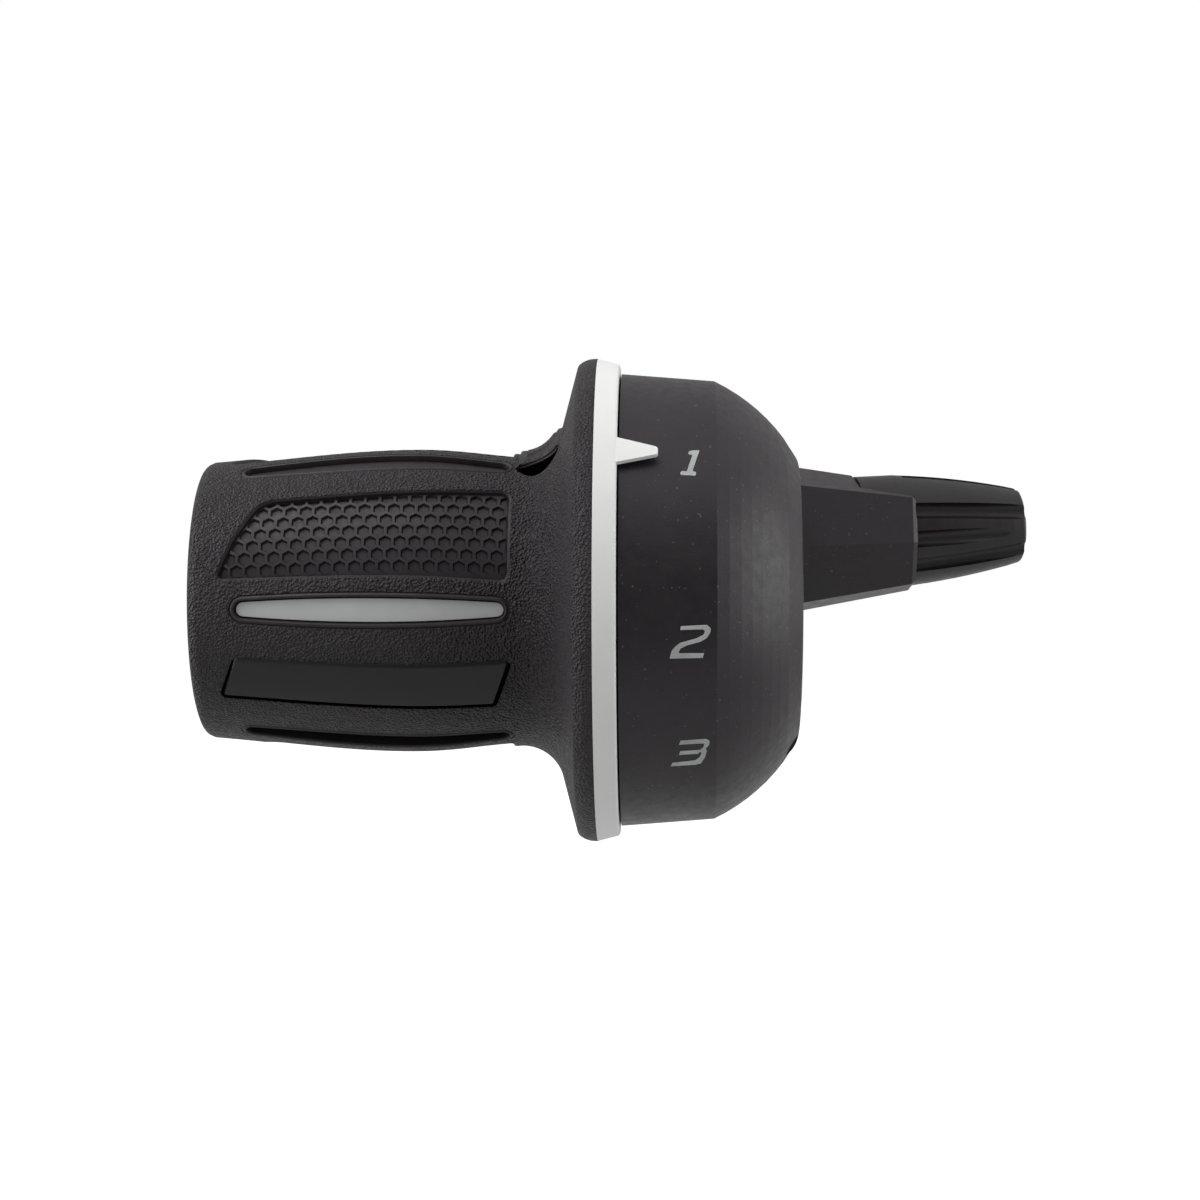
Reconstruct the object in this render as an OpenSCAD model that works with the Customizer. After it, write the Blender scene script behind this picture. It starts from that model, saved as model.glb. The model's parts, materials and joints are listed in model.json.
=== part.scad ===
// Twist grip shifter for a bicycle handlebar.
// The handlebar runs along X. The origin is the centre of the clamp bore at the inboard end face.
// The grip points along -X and the cable outlet along +X. +Z is up and the rider looks along +Y.
// A turn is an angle about the bar: 0 faces the rider, 90 is up and 180 faces forward.

/* [Bar and clamp] */
// Diameter of the handlebar
bar_d = 22.2; // [22:0.1:22.6]
// Radial clearance of the open clamp on the bar
clamp_clearance = 0.05; // [0.02:0.01:0.1]
// Wall of the clamp ring
clamp_wall = 3.25; // [3:0.05:3.6]
// Length of the clamp ring along the bar
clamp_len = 7.2; // [6.8:0.1:7.6]
// Width of the saw cuts that free the clamp
clamp_cut_w = 0.8; // [0.6:0.1:1]
// Width of the gap that the bolt closes
clamp_gap_w = 1.6; // [1.2:0.1:2]
// Wall of the hub that the spool turns on
hub_wall = 2.05; // [1.9:0.05:2.3]
// Width of the collar that the thrust washer seats on
hub_collar_w = 1; // [0.8:0.1:1.2]

/* [Clamp bolt] */
// Thread diameter of the clamp bolt
bolt_d = 4; // [3.6:0.1:4.2]
// Clearance of the bolt in its hole, in radius
bolt_clearance = 0.15; // [0.1:0.05:0.25]
// Head diameter
bolt_head_d = 7; // [6.6:0.1:7.2]
// Head height
bolt_head_h = 4; // [3:0.1:4.4]
// Key size of the hexagon socket
bolt_key = 3; // [2.5:0.1:3.2]
// Depth of the hexagon socket
bolt_key_depth = 2.2; // [1.6:0.1:2.6]
// Outer diameter of the threaded sleeve in the nearer ear
sleeve_d = 5.4; // [5.2:0.1:5.6]
// Length of the threaded sleeve
sleeve_len = 5; // [4:0.1:5.4]
// Thickness of the washer under the bolt head
bolt_washer_t = 0.8; // [0.5:0.1:1]
// Plastic left between the bar and the threaded sleeve
sleeve_cover = 0.55; // [0.4:0.05:0.8]
// Wall of the ears round the threaded sleeve
ear_wall = 0.55; // [0.4:0.05:0.7]

/* [Housing] */
// Length of the domed inboard end
dome_len = 9.3; // [8.8:0.1:10]
// How far the dome bulges beyond a straight cone
dome_bulge = 1; // [0.6:0.1:1.2]
// Rim of flat end face outside the clamp ring
dome_foot = 1.2; // [0.8:0.1:1.5]
// Rounding where the dome meets the end face
dome_foot_round = 1.6; // [0.8:0.1:2]
// Wall of the end face
end_wall = 2; // [1.6:0.1:2.4]
// Length of the band that carries the gear numbers
band_len = 10.25; // [9.6:0.05:11]
// Growth in radius of the band towards its open mouth
band_draft = 0.8; // [0.4:0.1:1]
// Wall of the band at the dome
shell_wall = 1.7; // [1.4:0.1:2.2]

/* [Cable outlet] */
// Turn of the cable outlet about the bar
outlet_turn = 158.5; // [150:0.5:170]
// Outward lean of the adjuster from the bar
outlet_lean = 8; // [6:0.5:9]
// Length of the outlet beyond the end face
outlet_len = 14.6; // [13.5:0.1:15.5]
// Corner radius of the seven-sided outlet at the end face
outlet_root_r = 9; // [8.8:0.1:9.2]
// Corner radius of the seven-sided outlet at its tip
outlet_tip_r = 6.5; // [6.4:0.1:6.8]
// How far the outlet's middle lies below the cable at the end face
outlet_root_drop = 0.55; // [0.4:0.05:0.7]
// How far the outlet's middle lies below the cable's height at its tip
outlet_tip_drop = 0.22; // [0.1:0.02:0.3]
// Turn of the outlet's corner that faces the rider
outlet_roll = -5.5; // [-8:0.5:-3]
// Corner radius of the fairing where it leaves the band
outlet_fairing_r = 4.6; // [4:0.1:5]

/* [Gears] */
// Turn of the pointer and of the first gear number
first_turn = 36.9; // [30:0.1:40]
// Twist from gear 1 to gear 2
second_twist = 46.2; // [40:0.1:48]
// Twist from gear 1 to gear 3
third_twist = 76.8; // [70:0.1:80]
// Turn of the detent spring
spring_turn = -90; // [-100:1:-80]
// Turn of the stop lug in gear 1
lug_turn = 80; // [70:1:90]

/* [Spool] */
// Clearance of the spool on the hub, in radius
hub_clearance = 0.15; // [0.1:0.05:0.2]
// Wall under the cable groove
spool_wall = 0.85; // [0.7:0.05:1]
// Diameter of the shift cable
cable_d = 1.2; // [1.1:0.1:1.2]
// Width of the cable groove
groove_w = 1.8; // [1.6:0.1:1.9]
// Depth of the cable groove
groove_depth = 1.7; // [1.4:0.1:1.8]
// Thickness of the flanges beside the groove
flange_t = 0.55; // [0.4:0.05:0.6]
// Height of the detent drum above the flanges
detent_rise = 4.5; // [4.2:0.1:4.8]
// Depth of a detent notch
notch_depth = 1; // [0.8:0.1:1.1]
// Width of a detent notch
notch_w = 3; // [2.8:0.1:3.4]
// Space between the drum and the band for the spring
spring_space = 2.3; // [2.2:0.1:2.5]
// Thickness of the thrust washer
washer_t = 0.7; // [0.5:0.1:0.8]
// Running gap between the faces of turning pieces
face_gap = 0.05; // [0.03:0.01:0.08]

/* [Ring] */
// Width of the indicator ring
ring_w = 2.45; // [2.4:0.05:3]
// How far the ring stands above the band
ring_step = 1.7; // [1.5:0.1:2.1]
// Fall of the ring's outer face towards the band
ring_fall = 0.65; // [0.4:0.05:0.8]
// Gap between the ring and the mouth of the housing
ring_gap = 0.2; // [0.15:0.05:0.4]
// Rounding of the ring's edge beside the housing
ring_round = 0.35; // [0.2:0.05:0.5]
// Length of the pointer beyond the ring
pointer_len = 4.3; // [3.8:0.05:4.6]
// Width of the pointer at the ring
pointer_w = 3.35; // [3:0.05:4]
// Width of the pointer at its tip
pointer_tip_w = 0.95; // [0.9:0.05:1.2]
// Rounding of the pointer's tip
pointer_round = 0.42; // [0.2:0.02:0.42]
// Thickness of the pointer
pointer_t = 0.5; // [0.4:0.05:0.8]

/* [Grip] */
// Length of the grip from its end to the ring
grip_len = 43.8; // [42:0.1:46]
// Running clearance of the barrel on the bar, in radius
barrel_clearance = 0.2; // [0.15:0.05:0.3]
// Wall of the barrel
barrel_wall = 2.1; // [1.9:0.1:2.3]
// Rubber over the barrel at the grip's end
skin_end = 1.95; // [1.6:0.05:2.4]
// Rubber over the barrel at the belly
skin_belly = 3.8; // [3.4:0.1:4.2]
// Rubber over the barrel at the waist
skin_waist = 2.9; // [2.6:0.1:3.2]
// Distance from the grip's end to the belly
belly_from_end = 24; // [22:0.5:24.5]
// Rounding of the grip's end
end_round = 1; // [0.6:0.1:1.4]
// Radius of the flare between waist and rim
flare_round = 4.8; // [4.4:0.1:5.2]
// Steepness of the flare
flare_slope = 72; // [70:1:75]
// Rounding of the rim
rim_round = 1.6; // [1.3:0.1:1.8]
// Width of the rim's flat edge beside the ring
rim_flat = 0.3; // [0.2:0.1:0.6]

/* [Grip details] */
// Turn of the front window and middle of the pattern
window_turn = -3.7; // [-6:0.1:0]
// Distance from the grip's end to a window's far end
window_from_end = 5.25; // [4.8:0.05:7]
// Half height of a window at its ends
window_end_h = 0.95; // [0.8:0.05:1.1]
// Half height of a window at its middle
window_mid_h = 1.45; // [1.2:0.05:1.7]
// Distance from the ring to a window's near end
window_from_ring = 9.5; // [9.2:0.1:11]
// Depth of the barrel's land below the rubber
window_depth = 0.45; // [0.3:0.05:0.6]
// Gap between the rubber and the land in a window
land_gap = 0.2; // [0.1:0.05:0.25]
// Depth of the black finger grooves
groove_recess = 0.7; // [0.5:0.05:1.3]
// Distance from the grip's end to a pad's far corner
pad_from_end = 3.3; // [2.6:0.1:5]
// Distance from the ring to a pad's near end
pad_from_ring = 9.3; // [9:0.1:10.5]
// Height of a pad round the grip
pad_h = 10.6; // [9.6:0.1:11]
// Depth of a pad
pad_depth = 0.4; // [0.2:0.05:0.5]
// Slant of a pad's outer end
pad_slant = 4.4; // [3.6:0.1:5.5]
// Fall of a pad's far upper corner below its near one
pad_fall = 1.2; // [0.8:0.1:1.6]
// Rise of a pad's far lower corner above its near one
pad_lift = 0.55; // [0.2:0.05:0.8]
// Pitch of the honeycomb pits
pit_pitch = 1.6; // [1.5:0.1:2]
// Distance from the grip's end to the plaque's far corner
plaque_from_end = 3.4; // [3:0.1:5]
// Distance from the ring to the plaque's near corner
plaque_from_ring = 9.1; // [8.8:0.1:10]
// Height of the plain plaque
plaque_h = 5.2; // [4.6:0.1:5.6]
// Height of the plaque above the rubber
plaque_rise = 0.35; // [0.2:0.05:0.45]
// Slant of the plaque's ends
plaque_slant = 1.8; // [0.8:0.1:2]
// Drop of the plaque's lower edge towards the ring
plaque_drop = 0.6; // [0.2:0.1:0.8]

/* [Adjuster] */
// Thread diameter of the adjuster
stem_d = 5; // [4.8:0.1:5.2]
// Thread pitch of the adjuster
stem_pitch = 0.8; // [0.7:0.05:0.9]
// Bore of the stem for the bare cable
stem_bore_d = 1.9; // [1.6:0.1:2.2]
// Radius of the knob's plain skirt
skirt_r = 6.7; // [6.5:0.1:6.8]
// Length of the skirt
skirt_len = 5; // [4.6:0.1:5.4]
// Length of the ribbed part of the knob
knob_len = 14.6; // [14:0.1:16]
// Radius of the knob at its tip
knob_tip_r = 4.4; // [4.2:0.1:4.8]
// How far the knob bulges beyond a straight cone
knob_bulge = 0.3; // [0.1:0.05:0.4]
// Number of plain lobes round the knob
lobes = 3; // [2:1:4]
// Number of flutes between two lobes
lobe_flutes = 3; // [2:1:3]
// Turn of a middle flute
flute_turn = -10.5; // [-16:0.5:-5]
// Radius of a flute
flute_r = 1; // [0.8:0.05:1.1]
// Depth of a flute at the skirt
flute_depth = 0.95; // [0.6:0.05:1]
// Slope of the outer flutes of a group along the knob
flute_lean = 8; // [7:0.5:9]
// Slope of the middle flute, which fades out at the tip
short_flute_lean = 3.9; // [3.6:0.1:5]
// Radius of the socket for the cable's outer casing
casing_r = 2.6; // [2.5:0.05:2.7]
// Depth of that socket
casing_depth = 8; // [7:0.5:9]
// Wire diameter of the click spring
click_wire_d = 0.7; // [0.5:0.1:0.8]
// Turns of the click spring
click_turns = 4; // [3:1:5]

/* [Hidden] */
$fn = 96;
outlet_sides = 7;
wire_sides = 8;
hexagon = 6;
overrun = 1;
fit_gap = 0.05;
corner_steps = 5;
curve_steps = 9;
quarter = 90;
half_turn = 180;
whole_turn = 360;
shell_black = [0.13, 0.13, 0.14];
rubber_black = [0.10, 0.10, 0.10];
ring_white = [0.90, 0.90, 0.89];
barrel_grey = [0.72, 0.72, 0.72];
steel = [0.62, 0.63, 0.65];
brass = [0.72, 0.58, 0.30];
acetal = [0.88, 0.87, 0.82];

// Radii from the bar outwards
bar_r = bar_d / 2;
bore_r = bar_r + clamp_clearance;
hub_r = bore_r + hub_wall;
clamp_r = bore_r + clamp_wall;
spool_bore_r = hub_r + hub_clearance;
groove_floor_r = spool_bore_r + spool_wall;
cable_r = groove_floor_r + cable_d / 2;
flange_r = groove_floor_r + groove_depth;
detent_r = flange_r + detent_rise;
chamber_r = detent_r + spring_space;
shoulder_r = chamber_r + shell_wall;
mouth_r = shoulder_r + band_draft;
rim_r = mouth_r + ring_step;
foot_r = clamp_r + dome_foot;
barrel_bore_r = bar_r + barrel_clearance;
barrel_r = barrel_bore_r + barrel_wall;
end_r = barrel_r + skin_end;
belly_r = barrel_r + skin_belly;
waist_r = barrel_r + skin_waist;

// Places along the bar
collar_x = -(clamp_len + clamp_cut_w + hub_collar_w);
mouth_x = -(dome_len + band_len);
ring_x1 = mouth_x - ring_gap;
ring_x0 = ring_x1 - ring_w;
grip_x0 = ring_x0 - grip_len;
belly_x = grip_x0 + belly_from_end;
hub_setback = 0.4;
hub_x0 = mouth_x + hub_setback;
washer_x0 = collar_x - face_gap - washer_t;
spool_x1 = washer_x0 - face_gap;
spool_x0 = ring_x1 + fit_gap;
groove_x1 = spool_x1 - flange_t;
groove_x0 = groove_x1 - groove_w;
cable_x = groove_x1 - groove_w / 2;
detent_x1 = groove_x0 - flange_t;

// Flare from the waist to the rim
rim_x = ring_x0 - rim_flat;
flare_rise = rim_r - rim_round - waist_r - flare_round + (rim_round + flare_round) * cos(flare_slope);
flare_x = rim_x - (rim_round + flare_round) * sin(flare_slope) - flare_rise / tan(flare_slope);

// Cable guide and adjuster axis
guide_bend = 5;
guide_r = 1.2;
guide_bore_r = 0.75;
guide_lead = 8;
guide_tail = 0.7;
guide_turn = outlet_turn - atan((guide_lead + guide_bend) / cable_r);
guide_x1 = cable_x + guide_bend;
outlet_r0 = norm([cable_r, guide_lead + guide_bend]) - guide_x1 * tan(outlet_lean);
outlet_y = -outlet_r0 * cos(outlet_turn);
outlet_z = outlet_r0 * sin(outlet_turn);
outlet_plate = 0.5;
outlet_edge = 0.5;

// Places along the adjuster's own axis, counted from the end face
pocket_floor_u = 2;
pocket_r = 5.4;
collar_t = 1.8;
collar_clearance = 0.12;
key_w = 2.4;
key_h = 0.65;
skirt_u0 = 8;
skirt_clearance = 0.25;
skirt_u1 = skirt_u0 + skirt_len;
knob_u1 = skirt_u1 + knob_len;
collar_u1 = skirt_u0 - face_gap;
collar_u0 = collar_u1 - collar_t;
insert_len = 7.4;
insert_wall = 1.1;
insert_flange_w = 0.8;
insert_flange_t = 0.5;
stem_clearance = 0.05;
stem_r = stem_d / 2;
insert_r = stem_r + stem_clearance + insert_wall;
stem_head_r = 3.5;
stem_head_len = 3.4;
stem_u1 = knob_u1 - casing_depth;
knob_root_r = skirt_r - fit_gap;
knob_edge = 0.5;
flute_pitch = whole_turn / (lobes * (lobe_flutes + 1));
thread_depth = 0.3;
thread_rings = 9;

// Clamp ears and bolt
bolt_r = bolt_d / 2;
bolt_drop = bore_r + sleeve_cover + sleeve_d / 2;
ear_r = sleeve_d / 2 + ear_wall;
ear_setback = 0.1;
bolt_x = -ear_r - ear_setback;
near_ear_len = 6;
far_ear_len = 5.4;
gap_y = 0.6;
near_ear_y = gap_y - near_ear_len;
far_ear_y = gap_y + clamp_gap_w + far_ear_len;
sleeve_y0 = gap_y - sleeve_len;
sleeve_rib = 0.2;
head_y = far_ear_y + bolt_washer_t;
bolt_tip_y = sleeve_y0 + sleeve_rib;
notch_margin = 0.5;
notch_wall = 1.2;
tongue_turn = 230;
tongue_half = 38;
tongue_gap_turn = 210;
tongue_gap_half = 18;

// Detent spring and stops
leaf_t = 0.5;
leaf_w = 4.5;
leaf_half = 7.6;
leaf_nose = 1.6;
leaf_r = detent_r + leaf_t + 0.1 * leaf_t;
leaf_stop_w = 1;
leaf_stop_gap = 0.2;
lug_half = 5.5;
stop_half = 3;
stop_margin = 0.8;
lug_h = spring_space - 2 * ring_gap;
leaf_mid_x = (spool_x0 + detent_x1) / 2;

// Retaining clip
clip_t = 0.7;
clip_w = 2.1;
clip_sink = 0.65;
clip_half = 150;
clip_x0 = hub_x0 + hub_wall / 4;
clip_room = 0.3;

// Drive dogs between spool, ring and barrel
dog_count = 3;
dog_r0 = 16.6;
dog_r1 = 19;
dog_half = 9;
dog_clearance = 0.1;
dog_play = 0.4;
dog_reach = 1.2;

// Barrel flange under the rubber
barrel_flange_t = 1.5;
barrel_flange_r = rim_r - rim_round - 0.9 * rim_round;
barrel_x1 = ring_x1 - face_gap;

// Pattern round the grip
upper_groove_step = 65.7;
lower_groove_step = 61;
groove_turns = [window_turn + upper_groove_step, window_turn - lower_groove_step];
hidden_arc = whole_turn - upper_groove_step - lower_groove_step;
hidden_step = hidden_arc / 4;
white_turns = [window_turn, groove_turns[0] + hidden_step, groove_turns[1] - hidden_step];
black_turns = [groove_turns[0], groove_turns[1], groove_turns[1] - 2 * hidden_step];
pad_turns = [window_turn + upper_groove_step / 2 - 3,
             groove_turns[0] + hidden_step / 2,
             groove_turns[0] + 1.5 * hidden_step,
             groove_turns[1] - hidden_step / 2,
             groove_turns[1] - 1.5 * hidden_step];
plaque_turn = window_turn - 0.47 * lower_groove_step;
window_x1 = ring_x0 - window_from_ring;
window_x0 = grip_x0 + window_from_end;
pad_x1 = ring_x0 - pad_from_ring;
pad_x0 = grip_x0 + pad_from_end;
plaque_x1 = ring_x0 - plaque_from_ring;
plaque_x0 = grip_x0 + plaque_from_end;
pad_corner = 0.8;
pad_big_corner = 2.4;
pad_knee_share = 0.36;
pad_knee_rise_share = 0.42;
rubber_floor = 1.1;
flap_turn = 60.4;
flap_lip = 0.3;
flap_x0 = flare_x - flap_lip;
flap_len = 4.7;
flap_rise = 1;
flap_drop = 1.75;

// Unit vector from one point to another
function toward(a, b) = (b - a) / norm(b - a);

// Arc that rounds the corner b between its neighbours a and c
function corner(a, b, c, r) =
    let (u = toward(b, a), v = toward(b, c), half = acos(u * v) / 2,
         centre = b + (u + v) / norm(u + v) * r / sin(half),
         p = b + u * r / tan(half) - centre, q = b + v * r / tan(half) - centre,
         start = atan2(p[1], p[0]), turn = atan2(p[0] * q[1] - p[1] * q[0], p * q))
    [for (i = [0 : corner_steps]) centre + r * [cos(start + turn * i / corner_steps),
                                                sin(start + turn * i / corner_steps)]];

// Closed outline with each corner rounded by its own radius
function rounded(points, radii) =
    [for (i = [0 : len(points) - 1])
        let (n = len(points), a = points[(i + n - 1) % n], c = points[(i + 1) % n])
        each (radii[i] > 0 ? corner(a, points[i], c, radii[i]) : [points[i]])];

// Shallow arc from a to b that bulges to the left of that line, ends left out
function bulged(a, b, rise) =
    let (side = [-(b - a)[1], (b - a)[0]] / norm(b - a))
    [for (i = [1 : curve_steps - 1]) let (s = i / curve_steps)
        a + s * (b - a) + side * rise * 4 * s * (1 - s)];

// Share of the swell reached at share t of the way to the belly
function swell(t) = (1 - cos(half_turn * t)) / 4 + (1 - pow(1 - t, 2)) / 2;

// Radius of the rubber at place x between the grip's end and the waist
function skin_r(x) = x < belly_x
    ? end_r + (belly_r - end_r) * swell((x - grip_x0) / belly_from_end)
    : waist_r + (belly_r - waist_r) * swell((flare_x - x) / (flare_x - belly_x));

// Places along the bar at which the rubber's swell is drawn
function swell_places(from, to) =
    [for (i = [0 : 2 * curve_steps]) from + (to - from) * i / (2 * curve_steps)];

// Half height of a window at share s from its middle to its end
function window_h(s) = window_end_h + (window_mid_h - window_end_h) * (1 - s * s);

// Boat-shaped window, grown all round by a margin, as places along the bar and round the grip
function boat(margin) =
    let (mid = (window_x0 + window_x1) / 2, r = window_end_h + margin,
         reach = (window_x1 - window_x0) / 2 - window_end_h)
    concat([for (i = [-curve_steps : curve_steps]) let (s = i / curve_steps)
                [mid + s * reach, window_h(s) + margin]],
           [for (i = [1 : 2 * corner_steps - 1]) let (a = quarter - i * quarter / corner_steps)
                [mid + reach + r * cos(a), r * sin(a)]],
           [for (i = [-curve_steps : curve_steps]) let (s = -i / curve_steps)
                [mid + s * reach, -window_h(s) - margin]],
           [for (i = [1 : 2 * corner_steps - 1]) let (a = -quarter - i * quarter / corner_steps)
                [mid - reach + r * cos(a), r * sin(a)]]);

// Solid of revolution about the bar from an outline of radii and places
module turned(outline) {
    rotate([0, quarter, 0]) rotate_extrude() polygon(outline);
}

// Part of a ring about the bar, centred on a turn
module arc_block(r0, r1, x0, x1, turn, half) {
    rotate([0, quarter, 0]) rotate([0, 0, -quarter - turn - half])
        rotate_extrude(angle = 2 * half) polygon([[r0, x0], [r1, x0], [r1, x1], [r0, x1]]);
}

// Prism that points away from the bar at a turn, from an outline along and round the bar
module radial(outline, r0, r1, turn) {
    rotate([-turn, 0, 0]) rotate([quarter, 0, 0]) translate([0, 0, r0])
        linear_extrude(r1 - r0) polygon(outline);
}

// Prism along the bar at a turn, from an outline round and away from the bar
module lengthwise(outline, x0, x1, turn) {
    rotate([half_turn - turn, 0, 0]) translate([x0, 0, 0]) rotate([0, quarter, 0])
        linear_extrude(x1 - x0) polygon(outline);
}

// Frame of the cable outlet: X runs along the adjuster's axis from the plane of the end face
module at_outlet() {
    rotate([-outlet_turn, 0, 0]) translate([0, -outlet_r0, 0]) rotate([0, 0, -outlet_lean]) children();
}

// Rod across the bar from y0 to y1 on the clamp bolt's axis
module bolt_rod(r, y0, y1) {
    translate([bolt_x, y0, -bolt_drop]) rotate([-quarter, 0, 0]) cylinder(r = r, h = y1 - y0);
}

// Outer form of the band and dome, without its cavity
module housing_form() {
    shoulder = [shoulder_r, -dome_len];
    foot = [foot_r, 0];
    dome = bulged(shoulder, foot, -dome_bulge);
    turned(concat([[0, mouth_x], [mouth_r, mouth_x], shoulder],
                  [for (p = dome) if (p[1] < -dome_foot_round / 2) p],
                  corner(dome[curve_steps - 4], foot, [0, 0], dome_foot_round),
                  [[0, 0]]));
}

// Seven-sided plate of the outlet at place x, its middle below the cable by a drop
module outlet_section(r, x, drop) {
    translate([x, outlet_y, outlet_z - drop]) rotate([quarter - outlet_roll, 0, 0]) rotate([0, quarter, 0])
        rotate([0, 0, half_turn]) cylinder(r = r, h = outlet_plate, $fn = outlet_sides);
}

// Tapering seven-sided outlet that grows out of the band
module outlet_form() {
    fairing_x = mouth_x / 2 - dome_len / 4;
    hull() {
        outlet_section(outlet_fairing_r, fairing_x, 0);
        outlet_section(outlet_root_r, -outlet_plate, outlet_root_drop);
    }
    hull() {
        outlet_section(outlet_root_r, -outlet_plate, outlet_root_drop);
        outlet_section(outlet_tip_r, outlet_len - outlet_edge - outlet_plate, outlet_tip_drop);
        outlet_section(outlet_tip_r - outlet_edge, outlet_len - outlet_plate, outlet_tip_drop);
    }
}

// Space inside the band and dome, round the hub
module housing_cavity() {
    turned([[hub_r, mouth_x - overrun], [chamber_r, mouth_x - overrun],
            [chamber_r, -dome_len - end_wall / 2], [clamp_r, -end_wall],
            [clamp_r, collar_x], [hub_r, collar_x]]);
}

// Opening at the lower front of the dome that gives the key a way to the bolt, grown by a wall
module key_opening(wall) {
    reach = bolt_head_d / 2 + notch_margin + wall;
    depth = clamp_len + clamp_cut_w / 2 + wall;
    translate([-depth, gap_y - wall, -bolt_drop - reach]) cube([depth + overrun, mouth_r, 2 * reach]);
}

// Ears that the bolt draws together
module clamp_ears() {
    bolt_rod(ear_r, near_ear_y, far_ear_y);
    translate([bolt_x - ear_r, near_ear_y, -bolt_drop])
        cube([2 * ear_r, far_ear_y - near_ear_y, bolt_drop - bore_r + ear_r]);
}

// Stops in the band for the spring's ends and for the spool's lug
module housing_stops() {
    for (side = [-1, 1])
        lengthwise([[side * (leaf_half + leaf_stop_gap), leaf_r - leaf_stop_w],
                    [side * (leaf_half + leaf_stop_gap + leaf_stop_w), leaf_r - leaf_stop_w],
                    [side * (leaf_half + leaf_stop_gap + leaf_stop_w), leaf_r + leaf_t],
                    [side * (leaf_half + leaf_stop_gap), leaf_r + leaf_t]],
                   leaf_mid_x - leaf_w / 2, leaf_mid_x + leaf_w / 2, spring_turn);
    for (turn = [lug_turn + lug_half + stop_half + stop_margin,
                 lug_turn - third_twist - lug_half - stop_half - stop_margin])
        arc_block(chamber_r - lug_h + ring_gap, chamber_r + shell_wall / 2, spool_x0 + ring_w, detent_x1,
                  turn, stop_half);
}

// Cable guide's outer form, grown by a clearance
module guide_form(r) {
    rotate([-guide_turn, 0, 0]) translate([guide_x1, -cable_r, guide_lead]) rotate([quarter, 0, 0]) {
        rotate([0, 0, quarter]) rotate_extrude(angle = quarter) translate([guide_bend, 0]) circle(r);
        translate([0, guide_bend, 0]) rotate([0, quarter, 0]) cylinder(r = r, h = guide_tail);
    }
}

// Room in the outlet for the cable, insert, spring, collar and skirt
module outlet_room() {
    at_outlet() {
        rotate([0, quarter, 0]) {
            translate([0, 0, pocket_floor_u - insert_len])
                cylinder(r = insert_r, h = insert_len + overrun);
            translate([0, 0, pocket_floor_u]) cylinder(r = pocket_r, h = skirt_u0);
            translate([0, 0, skirt_u0 - skirt_clearance])
                cylinder(r = skirt_r + skirt_clearance, h = outlet_len);
            translate([0, 0, guide_x1 + guide_tail / 2])
                cylinder(r = guide_bore_r, h = pocket_floor_u - guide_x1);
        }
        for (side = [-1, 1])
            translate([pocket_floor_u, -key_w / 2, side > 0 ? 0 : -pocket_r - key_h])
                cube([skirt_u0, key_w, pocket_r + key_h]);
    }
}

// Main moulding: band, dome, hub, clamp and cable outlet
module housing() {
    color(shell_black) difference() {
        union() {
            difference() {
                union() {
                    housing_form();
                    outlet_form();
                }
                housing_cavity();
            }
            intersection() {
                housing_form();
                key_opening(notch_wall);
            }
            clamp_ears();
            housing_stops();
        }
        difference() {
            key_opening(0);
            turned([[0, collar_x - overrun], [clamp_r, collar_x - overrun],
                    [clamp_r, overrun], [0, overrun]]);
            clamp_ears();
        }
        turned([[0, mouth_x - overrun], [bore_r, mouth_x - overrun], [bore_r, overrun], [0, overrun]]);
        turned([[0, mouth_x - overrun], [mouth_r + overrun, mouth_x - overrun],
                [mouth_r + overrun, mouth_x],
                [chamber_r - overrun, mouth_x], [chamber_r - overrun, hub_x0], [0, hub_x0]]);
        turned([[hub_r - clip_sink, clip_x0], [hub_r + overrun, clip_x0],
                [hub_r + overrun, clip_x0 + clip_t + fit_gap],
                [hub_r - clip_sink, clip_x0 + clip_t + fit_gap]]);
        translate([-clamp_len - clamp_cut_w, gap_y, -mouth_r])
            cube([clamp_len + clamp_cut_w + overrun, clamp_gap_w, mouth_r - bore_r / 2]);
        arc_block(bore_r - overrun, clamp_r + overrun, -clamp_len - clamp_cut_w, -clamp_len,
                  tongue_turn, tongue_half);
        arc_block(clamp_r - fit_gap, clamp_r + clamp_cut_w, -end_wall - overrun, overrun,
                  tongue_gap_turn, tongue_gap_half);
        bolt_rod(bolt_r + bolt_clearance, sleeve_y0, far_ear_y + overrun);
        bolt_rod(sleeve_d / 2, sleeve_y0, gap_y + clamp_gap_w / 2);
        bolt_rod(bolt_head_d / 2 + notch_margin, far_ear_y, mouth_r);
        guide_form(guide_r + fit_gap);
        outlet_room();
    }
}

// Socket-head bolt that closes the clamp
module clamp_bolt() {
    color(steel) difference() {
        union() {
            bolt_rod(bolt_r - stem_clearance, bolt_tip_y, head_y);
            bolt_rod(bolt_head_d / 2, head_y, head_y + bolt_head_h);
        }
        translate([bolt_x, head_y + bolt_head_h - bolt_key_depth, -bolt_drop]) rotate([-quarter, 0, 0])
            cylinder(d = bolt_key / cos(half_turn / hexagon), h = bolt_key_depth + overrun, $fn = hexagon);
    }
}

// Flat washer under the bolt's head
module clamp_washer() {
    color(steel) difference() {
        bolt_rod(bolt_head_d / 2 + fit_gap, far_ear_y, head_y);
        bolt_rod(bolt_r + bolt_clearance, far_ear_y - overrun, head_y + overrun);
    }
}

// Threaded sleeve that is moulded into the nearer ear
module clamp_sleeve() {
    half = sleeve_len / 2;
    color(brass) difference() {
        union() {
            bolt_rod(sleeve_d / 2 - sleeve_rib, sleeve_y0, gap_y - sleeve_rib);
            bolt_rod(sleeve_d / 2 - fit_gap, sleeve_y0, sleeve_y0 + half - sleeve_rib);
            bolt_rod(sleeve_d / 2 - fit_gap, sleeve_y0 + half + sleeve_rib, gap_y - sleeve_rib);
        }
        bolt_rod(bolt_r, sleeve_y0 - overrun, gap_y + overrun);
    }
}

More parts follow.
